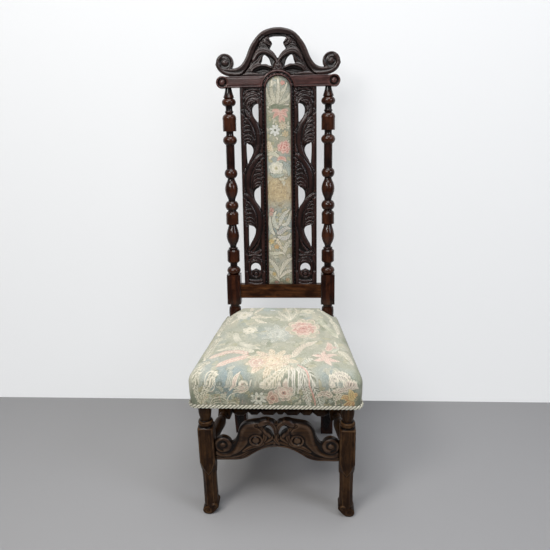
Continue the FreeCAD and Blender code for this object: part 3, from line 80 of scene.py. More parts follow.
class Wire:
    def __init__(self, tree, socket):
        self.tree, self.socket = tree, socket

    def maths(self, operation, *others, first=()):
        node = self.tree.nodes.new("ShaderNodeMath")
        node.operation = operation
        for slot, value in zip(node.inputs, (*first, self, *others)):
            if isinstance(value, Wire):
                self.tree.links.new(value.socket, slot)
            else:
                slot.default_value = value
        return Wire(self.tree, node.outputs[0])

    def __add__(self, other):
        return self.maths("ADD", other)

    def __sub__(self, other):
        return self.maths("SUBTRACT", other)

    def __rsub__(self, other):
        return self.maths("SUBTRACT", first=[other])

    def __mul__(self, other):
        return self.maths("MULTIPLY", other)

    def __pow__(self, other):
        return self.maths("POWER", other)

    def __abs__(self):
        return self.maths("ABSOLUTE")

    __radd__ = __add__
    __rmul__ = __mul__

    def rise(self, low, high):  # 0 below low, 1 above high, smooth between
        node = self.tree.nodes.new("ShaderNodeMapRange")
        node.interpolation_type = "SMOOTHSTEP"
        self.tree.links.new(self.socket, node.inputs["Value"])
        node.inputs["From Min"].default_value, node.inputs["From Max"].default_value = low, high
        return Wire(self.tree, node.outputs[0])

    def fall(self, low, high):
        return 1 - self.rise(low, high)


class Finish:
    def __init__(self, name):
        self.material = bpy.data.materials.new(name)
        self.material.use_nodes = True
        self.tree = self.material.node_tree
        self.tree.nodes.clear()
        self.out = self.tree.nodes.new("ShaderNodeOutputMaterial")
        self.skin = self.tree.nodes.new("ShaderNodeBsdfPrincipled")
        self.tree.links.new(self.skin.outputs[0], self.out.inputs[0])

    def node(self, kind, settings=None, inputs=None, output=0):
        node = self.tree.nodes.new("ShaderNode" + kind)
        for key, value in (settings or {}).items():
            if key == "stops":
                ramp = node.color_ramp
                while len(ramp.elements) < len(value):
                    ramp.elements.new(0.5)
                for element, (place, colour) in zip(ramp.elements, value):
                    element.position, element.color = place, (*colour, 1)
            else:
                setattr(node, key, value)
        for key, value in (inputs or {}).items():
            self.feed(node.inputs[key], value)
        return Wire(self.tree, node.outputs[output])

    def feed(self, socket, value):
        if isinstance(value, Wire):
            self.tree.links.new(value.socket, socket)
        elif isinstance(value, (tuple, list)) and len(value) == 3 and socket.type == "RGBA":
            socket.default_value = (*value, 1)
        else:
            socket.default_value = value

    def place(self):
        return self.node("TexCoord", output="Object")

    def parts(self, vector):
        split = self.node("SeparateXYZ", inputs={0: vector})
        return [Wire(self.tree, split.socket.node.outputs[axis]) for axis in range(3)]

    def spread(self, vector, scale):
        return self.node("Mapping", inputs={"Vector": vector, "Scale": scale})

    def cloud(self, vector, scale, detail=3.0, rough=0.5):
        return self.node("TexNoise", inputs={"Vector": vector, "Scale": scale, "Detail": detail, "Roughness": rough})

    def blend(self, share, first, second, mode="MIX"):
        node = self.tree.nodes.new("ShaderNodeMix")
        node.data_type, node.blend_type = "RGBA", mode
        for index, value in ((0, share), (6, first), (7, second)):
            self.feed(node.inputs[index], value)
        return Wire(self.tree, node.outputs[2])

    def attribute(self, name, output="Fac"):
        return self.node("Attribute", {"attribute_name": name}, output=output)

    def relief(self, height, distance, strength):
        return self.node("Bump", inputs={"Height": height, "Distance": distance, "Strength": strength})

    def finish(self, colour, rough, normal=None, **fixed):
        self.feed(self.skin.inputs["Base Color"], colour)
        self.feed(self.skin.inputs["Roughness"], rough)
        if normal:
            self.feed(self.skin.inputs["Normal"], normal)
        for key, value in fixed.items():
            self.skin.inputs[key.replace("_", " ")].default_value = value
        return self.material


# Oak: long dark pores and streaks along the grain; hollows darkened nearly to black, partly wax and partly painted
# shade; what stands out lightened, partly polish worn off and partly a painted highlight

def oak(name, look, along, relief=None):
    finish = Finish(name)
    where = finish.place()

    def stretched(amount):
        return finish.spread(where, [amount if axis == along else 1.0 for axis in "xyz"])

    grainPlace = stretched(look["grainStretch"])
    streak = finish.cloud(grainPlace, look["streakScale"], 4, 0.6)
    pores = finish.cloud(grainPlace, look["poreScale"], 2, 0.7)
    patches = finish.cloud(where, look["patchScale"], 3, 0.55)
    mottle = finish.cloud(stretched(look["mottleStretch"]), look["mottleScale"], 3, 0.6).rise(0.44, 0.64)
    poreMask = pores.rise(0.54, 0.66)
    colour = finish.node("ValToRGB", {"stops": look["tones"]}, {0: streak * 0.65 + patches * 0.35})
    colour = finish.blend(poreMask * look["poreShare"], colour, look["poreColour"])
    rough = look["rough"] + (patches - 0.5) * 0.25 + poreMask * 0.12
    if relief == "carved":
        # carved: what stands proud is lightened, wear with a painted highlight; what lies deep is darkened, wax with
        # painted shade
        depth, ridge = finish.attribute("depth"), finish.attribute("ridge")
        proud = (ridge * 1.2 - depth * 0.9 + (patches - 0.5) * 0.5).rise(0.05, 0.75)
        waxAndShade = (depth - ridge * 0.8).rise(0.15, 0.75)
        rough = rough + waxAndShade * 0.15
    if relief == "turned":
        # turned: the fuller parts of the turnings are lightened, wear with a painted highlight; the narrow necks are
        # darkened, wax with painted shade
        across, depthwise, height = finish.parts(where)
        behind = (height - back["seatLine"]).maths("MAXIMUM", 0.0) * math.tan(back["rake"])
        axisY = back["toe"] + back["seatLineDepth"] + behind
        radius = ((abs(across) - look["postX"]) ** 2.0 + (depthwise - axisY) ** 2.0) ** 0.5
        proud = (radius + (patches - 0.5) * 0.008).rise(*look["proudRadius"]) * radius.fall(*look["squareRadius"])
        waxAndShade = radius.fall(*look["hollowRadius"])
    if relief:
        # painted shade, with wax, in the hollows; then a painted highlight, with wear, on what stands proud
        colour = finish.blend(waxAndShade * look["waxAndShadeShare"], colour, look["waxAndShadeColour"])
        colour = finish.blend(proud * look["wearAndHighlightShare"], colour, look["wearAndHighlightColour"])
        rough = rough - proud * 0.1
    colour = finish.blend(mottle * look["mottleShare"], colour, look["mottleColour"], "MULTIPLY")
    normal = finish.relief(pores * 0.5 + streak * 0.5, 0.0005, 0.5)
    return finish.finish(colour, rough.maths("MAXIMUM", look["leastRough"]), normal, Specular_IOR_Level=look["shine"],
        Coat_Weight=look["coat"], Coat_Roughness=look["coatRough"])


def tones(dark, middle, light, places=(0.28, 0.5, 0.72)):
    return list(zip(places, (dark, middle, light)))


# the wax-and-shade colour paints shade into hollows, the wear-and-highlight colour paints highlights onto proud places
darkOakLook = {"tones": tones((0.006, 0.0014, 0.0009), (0.016, 0.004, 0.0021), (0.046, 0.013, 0.0052)),
    "grainStretch": 0.06, "streakScale": 160.0, "poreScale": 900.0, "patchScale": 22.0, "mottleStretch": 0.4,
    "mottleScale": 48, "mottleShare": 0.8, "mottleColour": (0.3, 0.22, 0.2), "poreShare": 0.6,
    "poreColour": (0.004, 0.0022, 0.0016), "waxAndShadeShare": 0.92, "waxAndShadeColour": (0.003, 0.0016, 0.0013), "wearAndHighlightShare": 0.15,
    "wearAndHighlightColour": (0.16, 0.05, 0.018), "rough": 0.36, "leastRough": 0.22, "coat": 0.52, "coatRough": 0.1,
    "shine": 0.05, "postX": 0.1455, "proudRadius": (0.0135, 0.0205), "squareRadius": (0.0214, 0.0226),
    "hollowRadius": (0.0095, 0.0135)}
wornOakLook = dict(darkOakLook, tones=tones((0.014, 0.006, 0.0022), (0.034, 0.015, 0.0052), (0.072, 0.034, 0.012)),
    wearAndHighlightColour=(0.13, 0.073, 0.034), rough=0.42, wearAndHighlightShare=0.5, coat=0.12, shine=0.06)
warmOakLook = dict(darkOakLook, tones=tones((0.012, 0.0042, 0.0018), (0.05, 0.018, 0.0058), (0.105, 0.041, 0.013),
    (0.3, 0.5, 0.7)), coat=0.2, shine=0.06)
plainOakLook = dict(darkOakLook, tones=tones((0.1, 0.06, 0.032), (0.17, 0.105, 0.058), (0.24, 0.155, 0.09),
    (0.3, 0.5, 0.72)), poreColour=(0.05, 0.03, 0.016), rough=0.66, coat=0.0, shine=0.4)
pearlLook = dict(darkOakLook, tones=tones((0.0012, 0.0008, 0.0008), (0.0016, 0.001, 0.001), (0.003, 0.0018, 0.0016),
    (0.3, 0.5, 0.7)), coat=0.3)
carvedOakLook = dict(darkOakLook, tones=tones((0.005, 0.0019, 0.0018), (0.012, 0.0048, 0.0042),
    (0.032, 0.013, 0.0105)), coat=0.55, coatRough=0.18, wearAndHighlightShare=0.17, wearAndHighlightColour=(0.1, 0.046, 0.038),
    mottleShare=0.5)
# the crest rail: lighter, redder tones and more of the proud colour, a painted reddish sheen for the light the rail
# reflects, partly its wear
crestRailSheenLook = dict(carvedOakLook, tones=tones((0.023, 0.0095, 0.0085), (0.046, 0.019, 0.0172),
    (0.088, 0.038, 0.034)), wearAndHighlightShare=0.3, wearAndHighlightColour=(0.13, 0.062, 0.055), coat=0.46)
crestLook = dict(carvedOakLook, tones=tones((0.009, 0.005, 0.0046), (0.018, 0.0096, 0.0086), (0.038, 0.02, 0.017)),
    coat=0.6, coatRough=0.26, wearAndHighlightShare=0.16, wearAndHighlightColour=(0.1, 0.06, 0.052))
stretcherLook = dict(wornOakLook, wearAndHighlightColour=(0.12, 0.078, 0.052), coat=0.28, coatRough=0.28)
finishes = {name: oak(name, *settings) for name, settings in {"postOak": (darkOakLook, "z", "turned"),
    "uprightOak": (darkOakLook, "z"), "railOak": (warmOakLook, "x"), "legOak": (wornOakLook, "z"),
    "crossOak": (wornOakLook, "x"), "sideOak": (wornOakLook, "y"), "plainRailOak": (plainOakLook, "x"),
    "plainSideOak": (plainOakLook, "y"), "plainBoardOak": (plainOakLook, "z"),
    "splatOak": (carvedOakLook, "z", "carved"), "crestOak": (crestLook, "x", "carved"),
    "crestRailOak": (crestRailSheenLook, "x", "carved"), "stretcherOak": (stretcherLook, "x", "carved"),
    "legCarvedOak": (wornOakLook, "z", "carved"), "pearlOak": (pearlLook, "z")}.items()}
nodesWith = {"postOak": ["left_rear_post", "right_rear_post"],
    "uprightOak": ["left_splat", "right_splat", "cresting_dowels"],
    "railOak": ["crest_rail", "cresting", "lower_back_rail"],
    "crossOak": ["rear_stretcher", "cross_stretcher", "front_stretcher"],
    "sideOak": ["left_side_stretcher", "right_side_stretcher"],
    "legOak": ["left_front_leg", "right_front_leg", "stretcher_pegs"],
    "plainRailOak": ["front_seat_rail", "rear_seat_rail"],
    "plainSideOak": ["left_seat_rail", "right_seat_rail", "corner_blocks"], "plainBoardOak": ["panel_board"]}
for finish, names in nodesWith.items():
    for name in names:
        nodes[name].data.materials.clear()
        nodes[name].data.materials.append(finishes[finish])
print("oak finishes made")


# What every mesh is built with

def unit(value):
    return np.clip(value, 0, 1)


def band(low, high, count):
    # faces between two rings, each given by its first point
    return [(low + i, low + (i + 1) % count, high + (i + 1) % count, high + i) for i in range(count)]


def meshFrom(name, places, faces, smooth=True):
    mesh = bpy.data.meshes.new(name)
    mesh.from_pydata(places, [], faces)
    mesh.polygons.foreach_set("use_smooth", [smooth] * len(mesh.polygons))
    return mesh


def note(mesh, name, values, kind="FLOAT", key="value"):
    mesh.attributes.new(name, kind, "POINT").data.foreach_set(key, values)


def addPiece(name, mesh, finish):
    mesh.materials.append(finish)
    piece = putIn(name, mesh)
    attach(piece, "root")
    print(name, "made:", len(mesh.polygons), "faces")
    return piece


# Carving: a board is a grid of heights with its openings cut out, closed by walls and a flat back

carving = {"grid": 0.0012, "groove": 0.0017, "moatDrop": 0.003, "bodyDrop": 0.004, "deepest": 0.009, "highest": 0.004,
    "kept": 0.55, "reliefNear": 0.0006, "reliefWide": 0.0022}


def smoothLine(points, steps=6):
    # Catmull-Rom through points that are given in pairs or one number after another
    points = np.array(points, float).reshape(-1, 2)
    if np.allclose(points[0], points[-1]):
        ends = np.vstack([points[-2], points, points[1]])
    else:
        ends = np.vstack([2 * points[0] - points[1], points, 2 * points[-1] - points[-2]])
    line = []
    for before, start, end, after in zip(ends, ends[1:], ends[2:], ends[3:]):
        for t in np.arange(steps) / steps:
            line.append(0.5 * (2 * start + (end - before) * t + (2 * before - 5 * start + 4 * end - after) * t ** 2
                + (3 * start - before - 3 * end + after) * t ** 3))
    return np.array(line + [points[-1]])


def followLine(x, z, line):
    # distance to the line, share of the way along it, and the side on which each place lies
    best = np.full(x.shape, 9.0)
    way, side = np.zeros(x.shape), np.zeros(x.shape)
    lengths = np.linalg.norm(np.diff(line, axis=0), axis=1)
    gone = 0.0
    for (ax, az), (bx, bz), length in zip(line, line[1:], lengths):
        if length < 1e-9:
            continue
        ux, uz = (bx - ax) / length, (bz - az) / length
        along = np.clip((x - ax) * ux + (z - az) * uz, 0, length)
        away = np.hypot(x - ax - ux * along, z - az - uz * along)
        closer = away < best
        best = np.where(closer, away, best)
        way = np.where(closer, (gone + along) / lengths.sum(), way)
        side = np.where(closer, np.sign(ux * (z - az) - uz * (x - ax)), side)
        gone += length
    return best, way, side


def insideOutline(x, z, outline):
    # distance to a closed outline, positive inside
    away = np.full(x.shape, 9.0)
    odd = np.zeros(x.shape, bool)
    for (ax, az), (bx, bz) in zip(outline, np.roll(outline, -1, 0)):
        run = (bx - ax) ** 2 + (bz - az) ** 2
        if run < 1e-14:
            continue
        t = unit(((x - ax) * (bx - ax) + (z - az) * (bz - az)) / run)
        away = np.minimum(away, np.hypot(x - ax - t * (bx - ax), z - az - t * (bz - az)))
        if abs(bz - az) > 1e-12:
            odd ^= ((az > z) != (bz > z)) & (x < (bx - ax) * (z - az) / (bz - az) + ax)
    return np.where(odd, away, -away)


def bothSides(points):
    # one closed outline from a right half that starts and ends on the middle line
    return points + [(-x, z) for x, z in points[::-1] if x > 0]


class Carving:
    # heights in metres over places given in millimetres; 0 is the board's face, the ground lies below
    def __init__(self, low, high, ground, sides=(1,), grid=None):
        step = grid or carving["grid"]
        self.across = np.arange(low[0] / 1000, high[0] / 1000 + step / 2, step)
        self.up = np.arange(low[1] / 1000, high[1] / 1000 + step / 2, step)
        self.x, self.z = np.meshgrid(self.across, self.up)
        self.height = np.full(self.x.shape, ground / 1000)
        self.solid = np.full(self.x.shape, 1.0)
        self.sides = sides

    def lines(self, points, steps=6, closed=False):
        # the line in metres, once for each side of the piece that it is cut on
        points = list(points) + ([points[0]] if closed else [])
        for side in self.sides:
            yield smoothLine([(x * side / 1000, z / 1000) for x, z in points], steps)

    def near(self, line, reach):
        low, high = line.min(0) - reach, line.max(0) + reach
        columns = np.flatnonzero((self.across >= low[0]) & (self.across <= high[0]))
        rows = np.flatnonzero((self.up >= low[1]) & (self.up <= high[1]))
        if len(columns) and len(rows):
            return slice(rows[0], rows[-1] + 1), slice(columns[0], columns[-1] + 1)

    def leaf(self, points, width, top=-0.5, root=0.6, tip=0.1, hollow=0.0, grooves=0, moat=1.5, crown=0.5, steps=6):
        # a stroke that swells between its root and its tip, hollowed or grooved along its length
        width, top, hollow, moat = width / 1000, top / 1000, hollow / 1000, moat / 1000
        for line in self.lines(points, steps):
            window = self.near(line, width + moat * 2)
            if window is None:
                continue
            away, way, side = followLine(self.x[window], self.z[window], line)
            swell = np.sin(np.pi * way ** 0.8)
            half = width * np.maximum(root + (tip - root) * way + (1 - root + (root - tip) * way) * swell, 0.03)
            share = away / half
            body = top - crown * half * (1 - np.sqrt(unit(1 - share ** 2)))
            body -= hollow * unit(1 - (share / 0.7) ** 2) * np.sin(np.pi * np.clip(way, 0.02, 0.98)) ** 0.5
            if grooves:
                body -= carving["groove"] * unit(np.cos(np.pi * share * grooves)) ** 2 * (share < 0.9)
            here = self.height[window]
            cleared = np.where((share >= 1) & (away < half + moat), np.minimum(here, top - carving["moatDrop"]), here)
            self.height[window] = np.where(share < 1, np.maximum(body, top - carving["bodyDrop"]), cleared)

    def bead(self, points, width, lift, steps=6):
        # a rounded ridge laid over what is there, or with a negative lift a groove
        for line in self.lines(points, steps):
            window = self.near(line, width / 1000)
            if window is not None:
                away, way, side = followLine(self.x[window], self.z[window], line)
                self.height[window] += lift / 1000 * unit(1 - (away / width * 1000) ** 2)

    def outline(self, points, steps=5, whole=False):
        # distance inside closed outlines, the most of all sides; a whole one is drawn once, over both sides
        if whole:
            line = smoothLine([(x / 1000, z / 1000) for x, z in points + points[:1]], steps)
            return insideOutline(self.x, self.z, line)
        return np.max([insideOutline(self.x, self.z, line) for line in self.lines(points, steps, True)], 0)

    def disc(self, centre, radius):
        return np.max([radius / 1000 - np.hypot(self.x - side * centre[0] / 1000, self.z - centre[1] / 1000)
            for side in self.sides], 0)

    def pierce(self, points, rim=0.0, steps=5, whole=False):
        hole = self.outline(points, steps, whole)
        self.solid = np.minimum(self.solid, -hole)
        if rim:
            self.height += rim / 1000 * unit(1 - np.abs(hole + 0.0016) / 0.0016)

    def raised(self, inside, height, edge=3.0, drop=2.0):
        # a plateau inside a distance field, its edge rounded
        fall = drop / 1000 * (1 - unit(inside * 1000 / edge)) ** 2
        self.height = np.where(inside > 0, np.maximum(self.height, height / 1000 - fall), self.height)

    def sunk(self, inside, height):
        self.height = np.where(inside > 0, np.minimum(self.height, height / 1000), self.height)

    def eye(self, centre, radius, ring, rim, deep, top=-0.5):
        # a turned button in a hollow ring, with a rim round it
        for side in self.sides:
            away = np.hypot(self.x - side * centre[0] / 1000, self.z - centre[1] / 1000) * 1000
            dome = -deep * 0.55 + (deep * 0.55 + top) * np.sqrt(unit(1 - (away / radius) ** 2))
            hollow = -deep * unit(1.25 - np.abs(away - (radius + ring) / 2) / (ring - radius) * 1.5)
            wall = top * np.ones(away.shape)
            height = np.where(away < radius, dome, np.where(away < ring, np.minimum(hollow, top), wall)) / 1000
            self.height = np.where(away < ring + rim, height, self.height)

    def spiral(self, centre, radius, turns, start, deep, swell=1.9):
        # a scroll that winds in to a button, its band a roll or with a negative swell a hollow
        for side in self.sides:
            x, z = (self.x * side - centre[0] / 1000) * 1000, self.z * 1000 - centre[1]
            away, turn = np.hypot(x, z), (np.arctan2(z, x) - start) % (2 * math.pi)
            inner = radius * 0.3
            pitch = (radius - inner) / turns
            wind = (radius - away) / pitch - turn / (2 * math.pi)
            share = wind - np.floor(wind)
            roll = -deep * (0.25 + 0.55 * (radius - away) / radius) + swell * np.sin(np.pi * unit(share)) ** 0.6
            if swell > 0:
                roll -= 2.6 * unit(1 - np.minimum(share, 1 - share) * pitch / 1.5) ** 1.5
            button = -deep * 0.9 + (deep * 0.75) * np.sqrt(unit(1 - (away / inner) ** 2))
            height = np.where(away < inner, button, roll)
            self.height = np.where((away < radius) & ((wind > 0) | (away < inner)), height / 1000, self.height)

    def wornEdge(self, reach=2.5, drop=1.2):
        self.height -= drop / 1000 * (1 - unit(self.solid * 1000 / reach)) ** 2


def blurred(values, cells):
    kernel = np.exp(-0.5 * (np.arange(-3 * cells, 3 * cells + 1) / cells) ** 2)
    kernel /= kernel.sum()
    wide = np.pad(values, 3 * cells, mode="edge")
    wide = sum(share * wide[number:number + values.shape[0]] for number, share in enumerate(kernel))
    return sum(share * wide[:, number:number + values.shape[1]] for number, share in enumerate(kernel))


def carvedMesh(name, field, face, depth, turn, mirror=False):
    # marching squares round the solid area, then walls and a flat back
    solid = field.solid
    height = np.minimum(field.height, carving["highest"])
    height = blurred(height, 1) * (1 - carving["kept"]) + height * carving["kept"]
    # how far each place stands proud of its neighbours and how deep it lies, written as ridge and depth; the oak finish
    # paints highlight and shade from them
    proud = np.clip((height - blurred(height, 2)) / carving["reliefNear"], -1, 1) * 0.5
    proud += np.clip((height - blurred(height, 6)) / carving["reliefWide"], -1, 1) * 0.5
    hollow = unit(-height / carving["deepest"])
    spots, points, faces = {}, [], []

    def spot(key, values):
        if key not in spots:
            spots[key] = len(points)
            points.append(values)
        return spots[key]

    def gridValues(here):
        return field.across[here[1]], field.up[here[0]], height[here], proud[here], hollow[here]

    def cutSpot(*ends):
        first, second = sorted(ends)
        share = solid[first] / (solid[first] - solid[second])
        pair = gridValues(first), gridValues(second)
        return spot((first, second), tuple(a + (b - a) * share for a, b in zip(*pair)))

    live = solid > 0
    count = live[:-1, :-1].astype(int) + live[1:, :-1] + live[:-1, 1:] + live[1:, 1:]
    for row, column in zip(*(part.tolist() for part in np.nonzero(count))):
        ring = [(row, column), (row, column + 1), (row + 1, column + 1), (row + 1, column)]
        if count[row, column] == 4:
            faces.append([spot(here, gridValues(here)) for here in ring])
            continue
        polygon = []
        for here, after in zip(ring, ring[1:] + ring[:1]):
            if live[here]:
                polygon.append(spot(here, gridValues(here)))
            if live[here] != live[after]:
                polygon.append(cutSpot(here, after))
        if len(polygon) > 2:
            faces.append(polygon)
    total = len(points)
    edges = {(here, after) for one in faces for here, after in zip(one, one[1:] + one[:1])}
    rim = [edge for edge in edges if edge[::-1] not in edges]
    backs = [[total + index for index in reversed(one)] for one in faces]
    walls = [[after, here, total + here, total + after] for here, after in rim]
    flip = -1 if mirror else 1
    places = [(x * flip, face - level, z) for x, z, level, ridge, deep in points]
    places += [(x * flip, face + depth, z) for x, z, level, ridge, deep in points]
    shell = faces + backs + walls
    if mirror:
        shell = [one[::-1] for one in shell]
    mesh = meshFrom(name, [tuple(turn @ Vector(place)) for place in places], shell)
    note(mesh, "ridge", [point[3] for point in points] + [0.0] * total)
    note(mesh, "depth", [point[4] for point in points] + [0.0] * total)
    rimPairs = {tuple(sorted(edge)) for edge in rim} | {tuple(sorted((a + total, b + total))) for a, b in rim}
    ends = np.zeros(len(mesh.edges) * 2, int)
    mesh.edges.foreach_get("vertices", ends)
    sharp = [tuple(sorted(pair)) in rimPairs for pair in ends.reshape(-1, 2).tolist()]
    mesh.attributes.new("sharp_edge", "BOOLEAN", "EDGE").data.foreach_set("value", sharp)
    return mesh


def carvedBoard(name, field, face, depth, finish, turn, mirror=False):
    return addPiece(name, carvedMesh(name, field, face, depth, turn, mirror), finish)


# Splats: winding ribs and leaves between openings that lie by turns beside the inner and the outer border

splats = {"face": -0.01, "depth": 0.016, "low": (36, 104), "high": (112, 696.5), "ground": -6,
    "field": [(57.5, 112), (97.5, 112), (97.5, 690), (57.5, 690)], "turnX": 154.5,
    "openings": [("inner", 622, [(61.6, 26), (58.6, 24), (58.9, 0), (59.7, -26), (66.6, -20), (74.3, -8), (77, 5.5),
    (75.8, 15), (69.6, 23)]), ("outer", 504, [(96.5, 28), (89.5, 28), (83.4, 26), (77.5, 18), (76.3, 8), (80, -3.5),
    (87.5, -17), (94.3, -27)]), ("inner", 376, [(56.9, 30), (62, 28.5), (68.8, 25), (74.9, 17), (76.7, 6),
    (74.8, -6.5), (69.7, -17), (61.4, -28), (57.7, -30)]),
    ("outer", 258, [(95.1, 30), (90.7, 32), (78.9, 28), (74.1, 19), (75.7, 6), (81.9, -9), (91, -25), (95.5, -31)])],
    "dome": [(91, 149), (91.5, 160), (86, 169), (76.5, 172.5), (67, 169), (61.5, 160), (62, 149), (69, 150.5),
    (76.5, 154), (84, 150.5)]}
# strokes beside an opening in the outer border, with heights from the opening's middle
splatStems = [([(103, 124), (91, 116), (79, 101), (70, 87), (64, 73), (60.5, 58), (59.5, 40), (60.5, 24), (65, 8),
    (72, -8), (82, -24), (93, -38), (101, -52)], 8.5, 5),
    ([(98, 103), (90, 97), (80, 84), (74, 70), (70.5, 54), (69, 38), (70, 24), (73, 10)], 3.6, 1)]
splatLeaves = [([(99, 92), (93, 93), (86, 88), (82, 79), (83, 72)], 4.6, 1.6),
    ([(99, 78), (93, 80), (85, 77), (79, 68), (79, 60)], 4.8, 1.8),
    ([(100, 64), (93, 67), (84, 64), (76.5, 55), (74.5, 45)], 4.8, 1.8),
    ([(100, 51), (92, 54), (84, 50), (77, 42), (74, 31)], 4.4, 1.6),
    ([(100, 41), (93, 44), (86, 41), (79, 34), (75.5, 24)], 3.4, 1),
    ([(99, 33), (92, 35.5), (86, 34), (80, 29)], 2.6, 0.6), ([(96, -60), (86, -50), (75, -36), (66, -20)], 3, 0.8),
    ([(60, 4), (63, -10), (67, -24), (70, -36)], 3, 0.8)]


def carveSplat():
    field = Carving(splats["low"], splats["high"], 0)
    field.sunk(field.outline(splats["field"], 1), splats["ground"])
    for side, middle, opening in splats["openings"]:
        def placed(points):
            return [(x if side == "outer" else splats["turnX"] - x, middle + up) for x, up in points]
        for points, width, hollow in splatLeaves:
            field.leaf(placed(points), width, -0.8, 0.9, 0.15, hollow, moat=1.2)
        for points, width, grooves in splatStems[::-1]:
            if middle > 600:
                points = [(x, up) for x, up in points if up < 60]
            field.leaf(placed(points), width, -0.2, 0.8, 0.55, 0, grooves, 1.6)
    for points, width, hollow in (([(58, 640), (58.5, 655), (66, 664), (77, 665.5), (88, 660), (95, 647), (95.5, 628),
            (88, 612)], 7, 2), ([(63, 676), (72, 679), (84, 677), (94, 670)], 4.6, 1.6),
            ([(60, 686), (70, 688.5), (84, 687), (96, 683)], 3, 1),
            ([(92, 634), (90, 648), (83, 655), (73, 656)], 2.6, 0.8), ([(60, 668), (64, 672), (70, 673)], 3, 0.8)):
        field.leaf(points, width, -0.3, 0.7, 0.5, hollow, moat=1.6)
    # the foot: arcs over a round opening, a small scroll under it
    for radius, width in ((22, 3), (28.5, 3), (34.5, 2.6)):
        arc = [(76.5 + radius * math.cos(turn) * (1 if radius < 30 else 0.62), 158 + radius * math.sin(turn))
            for turn in np.linspace(-0.25, math.pi + 0.25, 9)]
        field.leaf(arc, width, -0.5, 0.9, 0.9, 0, 1, 1.2)
    for points, width, hollow in (([(96, 208), (84, 202), (72, 203), (60, 212)], 5, 1.4),
            ([(60, 197), (70, 196), (82, 198), (96, 196)], 3.4, 1),
            ([(58, 176), (57.8, 158), (60, 142), (68, 131)], 4.4, 1),
            ([(97, 176), (97, 158), (95, 142), (87, 131)], 4.4, 1),
            ([(59, 118), (68, 114.5), (84, 114.5), (96, 118)], 4.6, 1.6)):
        field.leaf(points, width, -0.6, 0.7, 0.5, hollow, moat=1.4)
    field.eye((76.5, 139), 6, 9.5, 3, 5)
    for side, middle, opening in splats["openings"]:
        field.pierce([(x, middle + up) for x, up in opening], 0.6)
    field.pierce(splats["dome"], 0.6)
    for x, width, lift in ((99.6, 1.6, -1.2), (55.4, 1.5, -1), (52, 1.4, -0.7), (44, 4.2, -3.4)):
        field.bead([(x, 106), (x, 400), (x, 696)], width, lift, 1)
    field.wornEdge()
    return field


splatField = carveSplat()
for label, mirrored in (("left", True), ("right", False)):
    splat = carvedBoard(label + "SplatCarving", splatField, splats["face"], splats["depth"], finishes["splatOak"],
        backTurn, mirrored)
    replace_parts(splat, label + "_splat")


# Cresting: an arched band that runs into two volutes, leafwork inside the arch

cresting = {"face": -0.011, "depth": 0.022, "ground": -10, "hump": 52.4, "rollWidth": 11.5,
    "outer": [(0, 858.5), (27.5, 854.5), (48.7, 845), (65, 829), (80.4, 807), (93.3, 777), (105.5, 759), (117.6, 751),
    (132, 748.5), (150, 752)], "under": [(179.5, 763), (177.5, 751), (170.5, 740.5), (158, 732), (144, 727.6),
    (130, 726.2), (116, 726)], "inner": [(0, 840), (25, 836), (45.2, 824), (60.3, 805), (73, 775), (84.7, 752),
    (98.8, 734), (110, 726.5)], "volute": (154, 764.3), "voluteRadius": 25.5,
    "topOpening": [(0, 834.5), (13, 834), (23.8, 831), (21.5, 824), (16, 816), (19, 808), (22.5, 800), (14, 793),
    (6.5, 784), (0, 775)], "sideOpening": [(39.5, 784.5), (31, 779.5), (25.2, 772.6), (21.5, 762), (20.5, 753.5),
    (34, 758.5), (49, 759), (46, 768), (44, 777.5)]}


